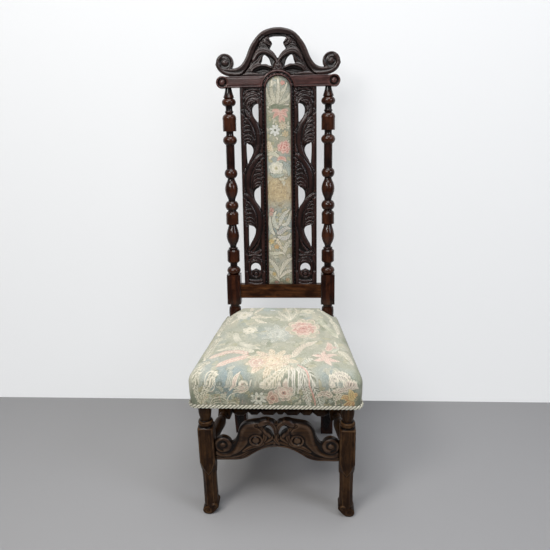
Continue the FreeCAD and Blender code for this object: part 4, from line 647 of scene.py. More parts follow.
def carveCresting():
    field = Carving((-180.6, 725.4), (180.6, 860), cresting["ground"], (1, -1))
    silhouette = bothSides(cresting["outer"] + cresting["under"] + [(60, 726), (0, 726)])
    body = field.outline(silhouette, 4, True)
    volute = field.disc(cresting["volute"], cresting["voluteRadius"])
    field.solid = np.maximum(body, volute)
    field.raised(body, cresting["ground"] + 0.5, 2, 0.5)
    window = field.outline(bothSides(cresting["inner"] + [(60, 720), (0, 720)]), 4, True)
    # the arched band: a broad roll with a fillet inside it and a thin bead along the opening
    rim, wide = field.solid * 1000, cresting["rollWidth"]
    roll = -0.2 - 4.2 * (1 - unit(np.sin(np.pi * unit(rim / wide))) ** 0.7) * (rim < wide)
    roll = np.where(rim >= wide, -2.6 - 1.2 * unit((rim - wide) / 3), roll)
    field.height = np.where(np.minimum(field.solid, -window) > 0, roll / 1000, field.height)
    for stroke in (([(47, 803), (49, 817), (40, 829), (28, 829), (21, 822), (10.6, 815)], 5.5, -3, 0.9, 0.2, 0.6, 2),
            ([(50, 806), (40, 816), (28, 815), (15, 806)], 4.6, -3.6, 0.9, 0.2, 0.5, 1),
            ([(56, 798), (46, 808), (36, 808), (25, 798)], 4.4, -4, 0.9, 0.25, 0.5, 1),
            ([(96, 733), (84, 744), (73, 764), (63, 783), (50, 798)], 5.4, -4.6, 0.6, 0.5, 0, 2),
            ([(70, 772), (63, 785), (50, 794.5), (36, 795), (22, 789), (10, 779), (3.5, 768)], 8.2, -1.8, 0.8, 0.45,
            0.8, 3), ([(98, 730), (82, 742), (66, 757), (54, 770), (42.5, 783)], 7.6, -3.2, 0.5, 0.12, 2.2, 0),
            ([(96, 728), (84, 733), (73, 747.5), (60, 755), (44, 757), (28, 753), (20, 748)], 5.6, -2.2, 0.5, 0.5,
            0.8, 2), ([(108, 728), (90, 731), (66, 731), (44, 728)], 4.8, -2.5, 0.3, 0.3, 0, 0)):
        field.leaf(*stroke, 1.4)
    field.sunk(field.outline([(70, 736), (58, 743), (45, 746), (33, 744.5), (24.5, 741), (40, 739), (56, 736)], 3),
        -14)
    bud = field.outline([(17.5, 737), (15, 750), (11, 761), (4, 769.5), (0, 771), (-4, 769.5), (-11, 761), (-15, 750),
        (-17.5, 737), (0, 733)], 3)
    field.raised(bud, -1.4, 12, 5)
    stipple = np.random.default_rng(5).normal(0, 0.0011, field.height.shape)
    field.height += np.where(bud > 0.001, blurred(stipple, 1) * 2.2, 0)
    field.eye((34, 820), 2.6, 4.2, 1.6, 5, -3.2)
    field.spiral(cresting["volute"], cresting["voluteRadius"], 1.45, 1.15, 2.6, -3.4)
    field.pierce(bothSides(cresting["topOpening"]), 0.4, 5, True)
    field.pierce(cresting["sideOpening"], 0.4)
    field.bead([(x, z + 1.2) for x, z in cresting["inner"]], 1.8, -7.5)
    field.bead([(179.5 - 3.6, 763), (173.5, 752), (167, 743.5), (156, 735.8), (143, 731.4), (130, 730)], 1.5, -1.6)
    hump = field.disc((0, 690), cresting["hump"])
    field.solid = np.minimum(field.solid, -hump)
    field.wornEdge(3, 1.6)
    return field


crestingPiece = carvedBoard("crestingCarving", carveCresting(), cresting["face"], cresting["depth"],
    finishes["crestOak"], backTurn)
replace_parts(crestingPiece, "cresting")


# Crest rail: scroll ends, a hump over the stuffed strip with a row of pearls in it

crestRail = {"face": -0.015, "depth": 0.03, "base": 694.4, "top": 725.6, "hump": 52, "arch": 36.6, "archPlace": 690,
    "endScroll": (162, 709.6), "endRadius": 17.8}


def carveCrestRail():
    field = Carving((-180.6, 693), (180.6, 743.5), 0, (1, -1), 0.0011)
    base, top, end = crestRail["base"], crestRail["top"], crestRail["endScroll"]
    bar = field.outline(bothSides([(0, base), (end[0], base), (end[0], top), (0, top)]), 1, True)
    humpDisc = field.disc((0, crestRail["archPlace"]), crestRail["hump"])
    upper = np.minimum(humpDisc, field.z - base / 1000)
    endDisc = field.disc(end, crestRail["endRadius"])
    endDisc = np.minimum(endDisc, np.minimum(field.z - (base - 1.6) / 1000, (top + 1.4) / 1000 - field.z))
    field.solid = np.maximum(np.maximum(bar, upper), endDisc)
    field.eye(end, 8, 13.2, 4, 6.5, -0.4)
    for height, width, lift in ((base + 4.4, 1.4, -1.5), (top - 3.6, 1.2, -1)):
        field.bead([(52, height), (99, height), (146, height)], width, lift, 1)
    for radius, width, lift in ((44, 4.2, -3.4), (50.6, 1.3, -0.9)):
        field.bead([(radius * math.sin(turn), crestRail["archPlace"] + radius * math.cos(turn))
            for turn in np.linspace(0, 1.5, 7)], width, lift, 4)
    field.sunk(field.disc((0, crestRail["archPlace"]), crestRail["arch"]), -13.6)
    field.wornEdge(2.5, 1.4)
    return field


crestRailPiece = carvedBoard("crestRailCarving", carveCrestRail(), crestRail["face"], crestRail["depth"],
    finishes["crestRailOak"], backTurn)
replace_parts(crestRailPiece, "crest_rail")


# Front stretcher: two long scrolls that meet in curled leaves, over an arched lower edge

frontStretcher = {"face": -0.241, "depth": 0.02, "outerScroll": (147.3, 230), "outerRadius": 23.8,
    "innerScroll": (56.5, 247), "under": [(171, 180), (128, 180), (103, 181.6), (83, 189), (64.5, 202), (46, 213.5),
    (27, 221), (8, 224.3), (0, 224.8)], "upper": [(0, 300), (6, 306), (16, 310), (26, 313), (36, 312), (48, 308),
    (63, 306), (82, 301.5), (95, 291.5), (103, 276), (108, 257), (114, 243), (123, 236), (132, 243), (147.3, 254),
    (160, 249), (169, 240), (171, 233)], "window": [(7, 254), (6.4, 265), (7, 276), (11.5, 287), (21, 293), (31, 287),
    (29.5, 280), (20, 274), (14, 268), (11, 261)]}


def carveStretcher():
    field = Carving((-171.2, 179), (171.2, 314.5), -5, (1, -1), 0.0013)
    shape = frontStretcher
    silhouette = field.outline(bothSides(shape["upper"] + [(171, 197)] + shape["under"]), 4, True)
    scroll = field.disc(shape["outerScroll"], shape["outerRadius"])
    field.solid = np.maximum(silhouette, scroll)
    field.solid = np.minimum(field.solid, 0.1709 - np.abs(field.x))
    # the long scroll's back, broad and gently rounded
    body = field.outline([(168, 209), (150, 202), (132, 205), (120, 215), (108, 237), (102, 259), (97, 281),
        (86, 296), (66, 303), (46, 302), (36, 293), (33, 277), (44, 263), (60, 265), (73, 255), (76, 237), (88, 219),
        (106, 202), (128, 192), (150, 189), (170, 197)], 4)
    field.raised(body, -0.6, 10, 3.4)
    for stroke in (([(172, 189), (150, 186.5), (126, 187), (104, 192), (84, 204), (64, 218), (44, 228), (22, 236),
            (0, 243)], 4.6, -1.6, 0.9, 0.6, 0.6, 1), ([(172, 184.5), (128, 183.6), (103, 185.4), (83, 193),
            (64.5, 206), (46, 217.5), (27, 225), (0, 228.4)], 2.8, -2.4, 1, 0.9, 0, 0),
            ([(92, 211), (74, 223), (56, 229), (42, 235), (34, 247), (31, 261), (33, 277), (42, 289), (54, 294)], 6.6,
            -0.8, 0.5, 0.5, 0, 1), ([(-6, 237), (3, 251), (4, 267), (4.5, 283), (10, 296), (22, 303.5), (36, 302),
            (45, 295)], 6.4, -0.2, 0.5, 0.75, 0.8, 1), ([(44, 297), (38, 300), (31, 304), (22, 308)], 7.4, 0.6, 0.8,
            0.6, 0, 0), ([(16, 252), (20, 263), (30, 271), (34, 285)], 4.4, -1, 0.7, 0.3, 0.8, 0),
            ([(30, 240), (20, 247), (10, 257), (3, 269)], 4, -1.6, 0.6, 0.4, 0.4, 0)):
        field.leaf(*stroke, 1.5)
    field.raised(field.disc((0, 303), 5.5), 0.4, 5, 3)
    field.eye(shape["innerScroll"], 10, 13.6, 5, 6, -0.6)
    field.raised(scroll, -0.8, 6, 3)
    field.spiral(shape["outerScroll"], shape["outerRadius"], 1.3, -1.6, 2.6, -2.6)
    field.bead([(118, 229), (108, 245), (101, 267), (95, 284), (84, 296), (66, 301.5), (52, 303)], 1.5, -1)
    field.bead([(126, 196), (106, 206), (90, 221), (79, 238), (75, 253), (66, 264)], 1.6, -1.6)
    field.pierce(shape["window"], 0.5)
    field.wornEdge(3, 1.8)
    return field


stretcherPiece = carvedBoard("frontStretcherCarving", carveStretcher(), frontStretcher["face"],
    frontStretcher["depth"], finishes["stretcherOak"], Matrix.Identity(4))
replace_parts(stretcherPiece, "front_stretcher")


# Front legs: turned barrel and ring, a block drawn down to points, an eight sided shaft that stands on two scrolls

frontLeg = {"x": 0.1925, "y": -0.229, "low": 22, "high": 366, "step": 1.25, "columns": 128, "block": 21.5,
    "blockTop": 289, "blockLow": 138, "shaft": 18.6, "shaftTop": 200, "facet": 9.5, "wobble": 0.9, "leanTop": 182,
    "turning": [(366, 15.8), (360, 16.8), (347, 18), (333, 17.7), (320, 15.9), (311, 13.7), (308.5, 13.2),
    (307.6, 16.8), (305.6, 19.4), (300.5, 20.9), (295.4, 19.6), (293.4, 17.2), (291, 16.2), (289, 16.8)],
    "cut": [(289, 8), (287, 3.6), (283, 3), (182, 3), (176, 4), (168, 7.5), (160, 10), (151, 14), (144, 19),
    (138, 23)], "waist": [(180, 0.4), (166, 1.2), (150, 0.6), (120, -0.2), (80, -0.2), (52, 0.5), (36, 0.8),
    (22, -1.2)], "foot": {"outer": (9.5, 14.5), "outerRadius": 14.3, "inner": (-10.5, 29.5), "innerRadius": 11.6,
    "web": [(4, 0.6), (-8, 8), (-17, 21), (-6, 29), (10, 22)], "face": -0.2496, "depth": 0.039}}


def legShell(side):
    heights = np.arange(frontLeg["low"], frontLeg["high"] + 0.1, frontLeg["step"])
    turns = np.linspace(0, 2 * math.pi, frontLeg["columns"], endpoint=False) + math.pi / 2
    turn, height = np.meshgrid(turns, heights)
    most, both = np.maximum(np.abs(np.cos(turn)), np.abs(np.sin(turn))), np.abs(np.cos(turn)) + np.abs(np.sin(turn))

    def along(key):
        spots = sorted(frontLeg[key])
        return np.interp(height, [spot[0] for spot in spots], [spot[1] for spot in spots])
    block = frontLeg["block"]
    squared = np.minimum(block / most, (2 * block - along("cut")) / both)
    squared *= (height < frontLeg["blockTop"]) & (height > frontLeg["blockLow"])
    wide = frontLeg["shaft"] + along("waist")
    eightSided = np.minimum(wide / most, (2 * wide - frontLeg["facet"]) / both) * (height < frontLeg["shaftTop"])
    radius = np.where(height > frontLeg["blockTop"], along("turning"), np.maximum(squared, eightSided))
    radius = radius + blurred(np.random.default_rng(9).normal(0, 1.0, radius.shape), 3) * frontLeg["wobble"]
    # how far each place stands out from the leg's rounded form, written as ridge and depth; the oak finish paints
    # highlight and shade from them
    proud = np.clip((radius - blurred(radius, 1)) / 0.3, -1, 1)
    x = side * frontLeg["x"] + (radius * np.cos(turn) - side * unit((frontLeg["leanTop"] - height) / 30)) / 1000
    y = frontLeg["y"] + radius * np.sin(turn) / 1000
    rows, columns = radius.shape
    faces = sum([band(row * columns, (row + 1) * columns, columns) for row in range(rows - 1)], [])
    faces += [list(reversed(range(columns))), [(rows - 1) * columns + i for i in range(columns)]]
    mesh = meshFrom("legShell", np.column_stack([x.ravel(), y.ravel(), height.ravel() / 1000]).tolist(), faces)
    note(mesh, "ridge", proud.ravel())
    note(mesh, "depth", unit(-proud - 0.2).ravel())
    return mesh


def footMesh(side):
    foot = frontLeg["foot"]
    field = Carving((-26, -1), (26, 44), -0.6, (1,), 0.0009)
    outer, inner = field.disc(foot["outer"], foot["outerRadius"]), field.disc(foot["inner"], foot["innerRadius"])
    field.solid = np.maximum(np.maximum(outer, inner), field.outline(foot["web"], 3))
    field.spiral(foot["inner"], foot["innerRadius"], 1, 0.4, 2)
    field.spiral(foot["outer"], foot["outerRadius"], 1.1, 2.4, 2.4)
    field.wornEdge(3.2, 2)
    place = Matrix.Translation((side * (frontLeg["x"] - 0.001), 0, 0))
    return carvedMesh("foot", field, foot["face"], foot["depth"], place, side < 0)


def joined(meshes):
    holders = [putIn("part", mesh) for mesh in meshes]
    with bpy.context.temp_override(active_object=holders[0], selected_editable_objects=holders):
        bpy.ops.object.join()
    mesh = holders[0].data
    bpy.data.objects.remove(holders[0])
    return mesh


for label, side in (("left", -1), ("right", 1)):
    legPiece = addPiece(label + "LegCarving", joined([legShell(side), footMesh(side)]), finishes["legCarvedOak"])
    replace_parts(legPiece, label + "_front_leg")


# What repeats along a path: a small form set at equal steps along a curve, by Geometry Nodes

def pathTree(name, finish, keys):
    tree = bpy.data.node_groups.new(name, "GeometryNodeTree")
    tree.interface.new_socket("Geometry", in_out="INPUT", socket_type="NodeSocketGeometry")
    for key in keys:
        tree.interface.new_socket(key, in_out="INPUT", socket_type="NodeSocketFloat")
    tree.interface.new_socket("Geometry", in_out="OUTPUT", socket_type="NodeSocketGeometry")
    entry, leave = tree.nodes.new("NodeGroupInput"), tree.nodes.new("NodeGroupOutput")

    def add(kind, settings=None, links=None, output=0):
        node = tree.nodes.new(kind)
        for key, value in (settings or {}).items():
            setattr(node, key, value)
        for key, value in (links or {}).items():
            socket = node.inputs[key]
            if isinstance(value, bpy.types.NodeSocket):
                tree.links.new(value, socket)
            else:
                socket.default_value = value
        return node.outputs[output]

    def done(geometry):
        real = add("GeometryNodeRealizeInstances", None, {0: geometry})
        smooth = add("GeometryNodeSetShadeSmooth", None, {0: real})
        tree.links.new(add("GeometryNodeSetMaterial", None, {0: smooth, "Material": finish}), leave.inputs[0])
        return tree

    return tree, entry.outputs, add, done


def grownPiece(name, paths, tree, values, finish):
    # curves through the paths, the tree's result made a plain mesh
    curve = bpy.data.curves.new(name + "Path", "CURVE")
    curve.dimensions = "3D"
    for path in paths:
        spline = curve.splines.new("POLY")
        spline.points.add(len(path) - 1)
        for point, place in zip(spline.points, path):
            point.co = (*place, 1)
    holder = putIn(name + "Path", curve)
    grower = holder.modifiers.new("grower", "NODES")
    grower.node_group = tree
    for item in tree.interface.items_tree:
        if item.item_type == "SOCKET" and item.in_out == "INPUT" and item.name in values:
            grower[item.identifier] = values[item.name]
    bpy.context.view_layer.update()
    shown = holder.evaluated_get(bpy.context.evaluated_depsgraph_get())
    mesh = bpy.data.meshes.new_from_object(shown)
    mesh.materials.clear()
    bpy.data.objects.remove(holder)
    return addPiece(name, mesh, finish)


# Pearls: a row beside the stuffed strip, over its arch as well

pearls = {"pitch": 0.011, "radius": 0.0029, "place": 0.044, "low": 0.114, "archPlace": 0.69, "seat": -0.009,
    "crestSeat": -0.0138}


def pearlTree():
    tree, entry, add, done = pathTree("pearlRow", finishes["pearlOak"], ("pitch", "radius"))
    places = add("GeometryNodeCurveToPoints", {"mode": "LENGTH"},
        {"Curve": entry["Geometry"], "Length": entry["pitch"]})
    ball = add("GeometryNodeMeshIcoSphere", None, {"Radius": entry["radius"], "Subdivisions": 3})
    return done(add("GeometryNodeInstanceOnPoints", None, {"Points": places, "Instance": ball}))


def pearlPaths():
    paths = []
    for side in (-1, 1):
        paths.append([tuple(backTurn @ Vector((side * pearls["place"], pearls["seat"], height)))
            for height in np.linspace(pearls["low"], pearls["archPlace"] - 0.003, 3)])
    arch = [(pearls["place"] * math.cos(turn), pearls["archPlace"] + pearls["place"] * math.sin(turn))
        for turn in np.linspace(math.pi - 0.16, 0.16, 40)]
    paths.append([tuple(backTurn @ Vector((x, pearls["crestSeat"], height))) for x, height in arch])
    return paths


grownPiece("pearlRows", pearlPaths(), pearlTree(), pearls, finishes["pearlOak"])


# Tapestry: leaves, sprays and flowers painted thread by thread on a piece's own points, a ribbed weave in the finish

tapestry = {"ground": "#b0b3a1", "groundLight": "#c2c1ae", "groundBlue": "#a9b4b0", "deep": "#8f977f", "rib": 0.0011,
    "stitch": 0.0023, "seed": 11, "cream": "#f0ebda", "straw": "#d3ccab", "sage": "#98a088", "moss": "#747d65",
    "dusk": "#565f4d", "pink": "#dfbfb2", "rosePink": "#cd9c8f", "red": "#b87770", "sand": "#c1ac8a",
    "blue": "#a3b2b6", "pale": "#c9cfc4", "orange": "#c59657", "rust": "#8f5d3c", "white": "#efece1",
    "middle": (0.52, 0.5, 0.4)}


def thread(code):
    # display colour to linear
    shares = [int(code[place:place + 2], 16) / 255 for place in (1, 3, 5)]
    return np.array([share / 12.92 if share < 0.04045 else ((share + 0.055) / 1.055) ** 2.4 for share in shares])


def drift(p, q, scale, seed):
    # smooth random values from -1 to 1 over the cloth
    lattice = np.random.default_rng(seed).uniform(-1, 1, (64, 64))
    u, v = p / scale + 31.7, q / scale + 17.3
    i, j = np.floor(u).astype(int), np.floor(v).astype(int)
    s, t = u - i, v - j
    s, t = s * s * (3 - 2 * s), t * t * (3 - 2 * t)

    def at(a, b):
        return lattice[(i + a) % 64, (j + b) % 64]
    return (at(0, 0) * (1 - s) + at(1, 0) * s) * (1 - t) + (at(0, 1) * (1 - s) + at(1, 1) * s) * t


def toward(turn):
    return np.array((math.cos(turn), math.sin(turn)))


class Tapestry:
    # places on the cloth in millimetres, nudged a little as counted stitches are
    def __init__(self, p, q, seed):
        self.p = p + drift(p, q, 9, seed) * 1.1 + drift(p, q, 3.1, seed + 1) * 0.5
        self.q = q + drift(p, q, 9, seed + 2) * 1.1 + drift(p, q, 3.1, seed + 3) * 0.5
        self.draw = np.random.default_rng(seed)
        self.colour = np.outer(np.ones(len(p)), thread(tapestry["ground"]))
        patch = drift(p, q, 46, seed + 4) * 0.6 + drift(p, q, 17, seed + 5) * 0.4
        self.wash(np.clip(patch * 1.6 + 0.1, 0, 0.9), "groundLight")
        self.wash(np.clip(drift(p, q, 60, seed + 6) * 1.8 - 0.6, 0, 0.8), "groundBlue")
        self.wash(np.clip(drift(p, q, 30, seed + 7) * 2.0 - 0.9, 0, 0.8), "deep")

    def wash(self, mask, code):
        self.here = slice(None)
        self.paint(mask, code)

    def paint(self, mask, code):
        shade = thread(tapestry.get(code, code))
        self.colour[self.here] += unit(mask)[:, None] * (shade - self.colour[self.here])

    def near(self, low, high):
        self.here = np.flatnonzero((self.p > low[0]) & (self.p < high[0]) & (self.q > low[1]) & (self.q < high[1]))
        return self.p[self.here], self.q[self.here]

    def stroke(self, points, reach):
        line = smoothLine(points, 5)
        p, q = self.near(line.min(0) - reach, line.max(0) + reach)
        away, way, side = followLine(p, q, line)
        return away, way, side, np.linalg.norm(np.diff(line, axis=0), axis=1).sum()

    def swell(self, way, width, lean, full):
        return width * np.sin(np.pi * np.clip(way, 0.001, 0.999) ** lean) ** full

    def edge(self, value, soft=1.1):
        return unit(0.5 - value / soft)

    def dye(self, away, code, share=1.0, soft=1.1):
        self.paint(self.edge(away, soft) * share, code)

    def stem(self, points, width, code, strength=1.0):
        away, way, side, length = self.stroke(points, width + 3)
        self.dye(away - width, code, strength)

    def leaf(self, points, width, fill, veins, shade="sage", line="cream", strength=1.0):
        # a smooth blade with an outline, a rib and side veins
        away, way, side, length = self.stroke(points, width + 4)
        half = self.swell(way, width, 0.75, 0.8)
        inside = self.edge(away - half)
        self.dye(away - half - 2.0, shade, 0.8 * strength, 1.6)
        self.paint(inside * strength * 0.8, fill)
        beat = np.cos((way * length - away * 0.9) * 2 * np.pi / veins)
        self.paint(inside * unit(beat * 1.8 - 0.9) * 0.6 * strength, shade)
        self.paint(inside * unit(-beat * 1.8 - 1.0) * 0.5 * strength, line)
        self.dye(np.abs(away - half) - 1.05, line, 0.95 * strength)
        self.dye(away - 0.7, line, (way > 0.02) * (way < 0.97) * 0.8 * strength)

    def plume(self, points, width, fill, pitch, shade="sage", line="cream", depth=0.42, strength=1.0):
        # a lobed leaf: barbs sweep forward from the rib, its edge scalloped and outlined
        away, way, side, length = self.stroke(points, width + 4)
        swell = self.swell(way, width, 0.7, 0.6)
        beat = (way * length - away * 1.25 + side * 1.8) * 2 * np.pi / pitch
        half = swell * (1 - depth + depth * (0.5 + 0.5 * np.cos(beat)) ** 0.7)
        inside = self.edge(away - half)
        self.dye(away - half - 2.4, shade, 0.9 * strength, 1.6)
        self.paint(inside * strength * 0.8, fill)
        self.paint(inside * unit(-np.cos(beat) * 2.2 - 0.8) * 0.85 * strength, shade)
        self.paint(inside * unit(np.cos(beat) * 2.6 - 1.5) * 0.9 * strength, line)
        self.dye(np.abs(away - half) - 1.0, line, (way > 0.03) * 0.9 * strength)
        self.dye(away - 0.8, line, (way < 0.97) * strength)

    def spray(self, points, width, line, pitch=6.0):
        # open barbs in thin thread, the ground showing between them
        away, way, side, length = self.stroke(points, width + 3)
        swell = self.swell(way, width, 0.6, 0.7)
        beat = np.cos((way * length - away * 1.3 + side * 1.4) * 2 * np.pi / pitch)
        self.dye(away - swell, line, unit(beat * 2.4 - 1.0))
        self.dye(away - 0.8, line)

    def curl(self, centre, radius, turns, start, width, code, strength=1.0):
        steps = np.linspace(0, 1, max(6, int(abs(turns) * 9)) + 1)
        self.stem([centre + toward(start + turns * 2 * math.pi * step) * radius * (1 - 0.85 * step)
            for step in steps], width, code, strength)

    def bloom(self, centre, radius, aspect, petals, rings, line, deep, turn=0.0):
        # petals in rings, each ring outlined, its petals parted by dark threads
        reach = np.array((radius, radius * aspect)) + 4
        p, q = self.near(np.array(centre) - reach, np.array(centre) + reach)
        dx, dy = p - centre[0], (q - centre[1]) / aspect
        far, around = np.hypot(dx, dy), np.arctan2(dy, dx) + turn
        for number, (share, fill) in enumerate(rings):
            wave = np.abs(np.cos((around + number * 0.9) * (petals - number) / 2))
            uneven = 1 + 0.09 * np.sin(around * 3 + number * 2 + centre[0])
            lobes = radius * share * (0.74 + 0.26 * wave ** 0.6) * uneven
            if not number:
                self.dye(far - lobes - 2.2, deep, 0.75, 2.0)
            self.dye(far - lobes, fill, 0.85)
            inner = rings[number + 1][0] * radius * 0.8 if number + 1 < len(rings) else 0
            parting = unit(1 - wave * 5.5) * (far > inner) * (far < lobes)
            self.paint(parting * 0.55, deep)
            hatch = unit(np.cos(around * (petals - number) * 3) * 2 - 1.1) * (far < lobes) * (far > lobes * 0.62)
            self.paint(hatch * 0.5, line)
            self.dye(np.abs(far - lobes) - 1.1, line, 0.95)
        self.dye(far - radius * 0.1, deep)

    def daisy(self, centre, radius, petals, fill, eye, shade):
        p, q = self.near(np.array(centre) - radius - 4, np.array(centre) + radius + 4)
        dx, dy = p - centre[0], q - centre[1]
        far, turn = np.hypot(dx, dy), np.arctan2(dy, dx)
        shape = radius * (0.4 + 0.6 * np.abs(np.cos(turn * petals / 2 + centre[0])) ** 0.8)
        self.dye(far - shape - 2.2, shade, 0.6, 2.0)
        self.dye(far - shape, fill)
        self.dye(np.abs(far - radius * 0.5) - 0.6, shade, 0.25)
        self.dye(far - radius * 0.2, eye)

    def flecks(self, centre, radius, count, codes, length=9.0, width=0.8, aspect=1.0, strength=0.85):
        # short curved threads, thrown over a round patch
        for number in range(count):
            turn, far = self.draw.uniform(0, 2 * math.pi), radius * self.draw.uniform(0, 1) ** 0.6
            place = centre + toward(turn) * far * (1, aspect)
            aim = turn + math.pi / 2 + self.draw.uniform(-0.9, 0.9)
            ahead = toward(aim) * length * self.draw.uniform(0.6, 1.3)
            bend = np.array((-ahead[1], ahead[0])) * self.draw.uniform(-0.3, 0.3)
            self.stem([place - ahead / 2, place + bend, place + ahead / 2], width, codes[number % len(codes)], strength)

    def sprig(self, place, turn, grow, fill, line, shade, strength=0.8):
        ahead = toward(turn) * 19 * grow
        aside = np.array((-ahead[1], ahead[0])) * 0.42
        self.stem([place, place + ahead * 0.6 + aside * 0.2, place + ahead], 0.6, line, 0.7 * strength)
        for share, flip in ((0.25, 1), (0.5, -1), (0.75, 1)):
            root = place + ahead * share
            self.leaf([root, root + ahead * 0.22 + aside * flip * 0.6, root + ahead * 0.5 + aside * flip * 1.3],
                3.0 * grow, fill, 5.0, shade, line, strength)

    def verdure(self, count, low, high, fills, lines, shades, grow=1.0, strength=0.7):
        # small leaves, sprigs and tendrils that fill the ground
        for number in range(count):
            place, turn = self.draw.uniform(low, high), self.draw.uniform(0, 2 * math.pi)
            size = self.draw.uniform(0.7, 1.25) * grow
            fill, line, shade = (one[number % len(one)] for one in (fills, lines, shades))
            if number % 4 == 0:
                self.sprig(place, turn, size, fill, line, shade, strength)
            elif number % 4 == 1:
                self.curl(place, 9 * size, self.draw.choice((-1.2, 1.2)), turn, 0.6, line, strength)
            else:
                ahead = toward(turn) * 26 * size
                aside = np.array((-ahead[1], ahead[0])) * self.draw.uniform(-0.35, 0.35)
                made = self.plume if number % 4 == 2 else self.leaf
                made([place, place + ahead * 0.5 + aside, place + ahead], 6.0 * size, fill, 6.0, shade, line,
                    strength=strength)

    def settle(self, gain, shade):
        # contrast about a middle colour, then a multiplier for the cloth's tone, which callers also vary to paint shade
        self.colour = tapestry["middle"] * (self.colour / tapestry["middle"]) ** gain * shade

    def lay(self, mesh, cloth):
        # colours and places written on the mesh
        grain = 1 + 0.09 * drift(self.p, self.q, 1.7, 91)[:, None] + 0.06 * drift(self.p, self.q, 5, 92)[:, None]
        colours = np.hstack([unit(self.colour * grain), np.ones((len(self.p), 1))])
        note(mesh, "thread", colours.ravel(), "FLOAT_COLOR", "color")
        note(mesh, "cloth", np.column_stack([cloth / 1000, np.zeros(len(cloth))]).ravel(), "FLOAT_VECTOR", "vector")


def tapestryFinish():
    finish = Finish("tapestry")
    across, along, spare = finish.parts(finish.attribute("cloth", "Vector"))
    row = (along * (1 / tapestry["rib"])).maths("FLOOR")
    column = (across * (1 / tapestry["stitch"]) + row * 0.54).maths("FLOOR")
    rib = abs((along * (math.pi / tapestry["rib"])).maths("SINE"))
    stitch = abs((across * (math.pi / tapestry["stitch"]) + row * 1.7).maths("SINE"))
    single = finish.node("TexWhiteNoise", {"noise_dimensions": "2D"},
        {"Vector": finish.node("CombineXYZ", None, {0: column, 1: row})})
    where = finish.place()
    fuzz = finish.cloud(where, 1400.0, 2)
    worn = finish.cloud(where, 26.0, 3)
    colour = finish.attribute("thread", "Color")
    # painted shade in the gaps between ribs and stitches
    colour = finish.blend((rib * stitch).fall(0.05, 0.5) * 0.24, colour, (0.13, 0.125, 0.09))
    colour = finish.blend(single.rise(0.5, 1.0) * 0.2, colour, (0.74, 0.7, 0.58))
    colour = finish.blend(single.fall(0.0, 0.45) * 0.18, colour, (0.2, 0.21, 0.16))
    colour = finish.blend(worn.rise(0.5, 0.72) * 0.15, colour, (0.7, 0.67, 0.56))
    colour = finish.blend(fuzz * 0.12, colour, (0.78, 0.75, 0.64))
    normal = finish.relief(rib * 0.6 + stitch * 0.4 + fuzz * 0.5, 0.0006, 0.55)
    finish.skin.inputs["Sheen Roughness"].default_value = 0.6
    return finish.finish(colour, 0.93 - fuzz * 0.06, normal, Sheen_Weight=0.12, Specular_IOR_Level=0.2)


def clothFinish(name, colour, dark, rib, under=None):
    # plain weave on the piece's own places, with painted shade in the gaps between threads
    finish = Finish(name)
    where = finish.place()
    across, along, up = finish.parts(where)
    warp = abs((across * (math.pi / rib)).maths("SINE"))
    weft = abs((along * (math.pi / rib)).maths("SINE"))
    weave = (warp + weft) * 0.5
    slub = finish.cloud(where, 220.0, 3)
    shade = finish.blend(weave.fall(0.2, 0.75) * 0.55, colour, dark)
    shade = finish.blend(slub.rise(0.45, 0.75) * 0.4, shade, tuple(part * 0.72 for part in colour))
    # with an attribute given: painted shade on the side of each strand that turns inward
    if under:
        shade = finish.blend(finish.attribute(under).fall(-0.25, 0.55) * 0.85, shade,
            tuple(part * 0.4 for part in dark))
    return finish.finish(shade, 0.9 - weave * 0.08, finish.relief(weave + slub * 0.4, 0.0005, 0.7),
        Specular_IOR_Level=0.2)


finishes["tapestry"] = tapestryFinish()
# the braid's outward attribute gives painted shade on each strand's inward side
finishes["braid"] = clothFinish("braidCloth", (0.68, 0.66, 0.55), (0.32, 0.31, 0.23), 0.0008, under="outward")
finishes["webbing"] = clothFinish("webbingCloth", (0.42, 0.3, 0.17), (0.16, 0.1, 0.05), 0.0016)
finishes["hessian"] = clothFinish("hessianCloth", (0.36, 0.25, 0.13), (0.1, 0.06, 0.03), 0.0013)


# Seat: a crowned pad whose cloth is drawn down over the rails and notched round the posts

seat = {"front": -0.255, "rear": 0.133, "frontX": 0.225, "rearX": 0.1718, "foot": 0.3613, "crown": 0.4768,
    "stand": 0.0023, "bulge": 0.003, "frontRound": 0.024, "rearRound": 0.01, "skirt": 0.0009, "under": 0.4312,
    "shoulder": 0.62, "roundRise": 0.31, "roundIn": 0.3, "rearIn": 0.35, "middle": (0.0, -0.062),
    "counts": (280, 16, 226, 10, 190), "sideRows": 58, "edgeRows": 20, "topRows": 76, "postX": 0.1455,
    "postHalf": 0.0222, "postFront": 0.1078, "rearLift": 0.0105, "liftFrom": -0.03, "liftRun": 0.13, "liftSide": 0.16,
    "liftFade": 0.045, "midLift": 0.003, "midFade": 0.1, "postDip": 0.005, "dipX": 0.168, "dipY": 0.115,
    "dipReach": 0.03, "lumps": ((58, 3, 0.0011), (21, 4, 0.0005)), "puckers": 58, "puckerDepth": 0.0006,
    "firmRun": 0.03}


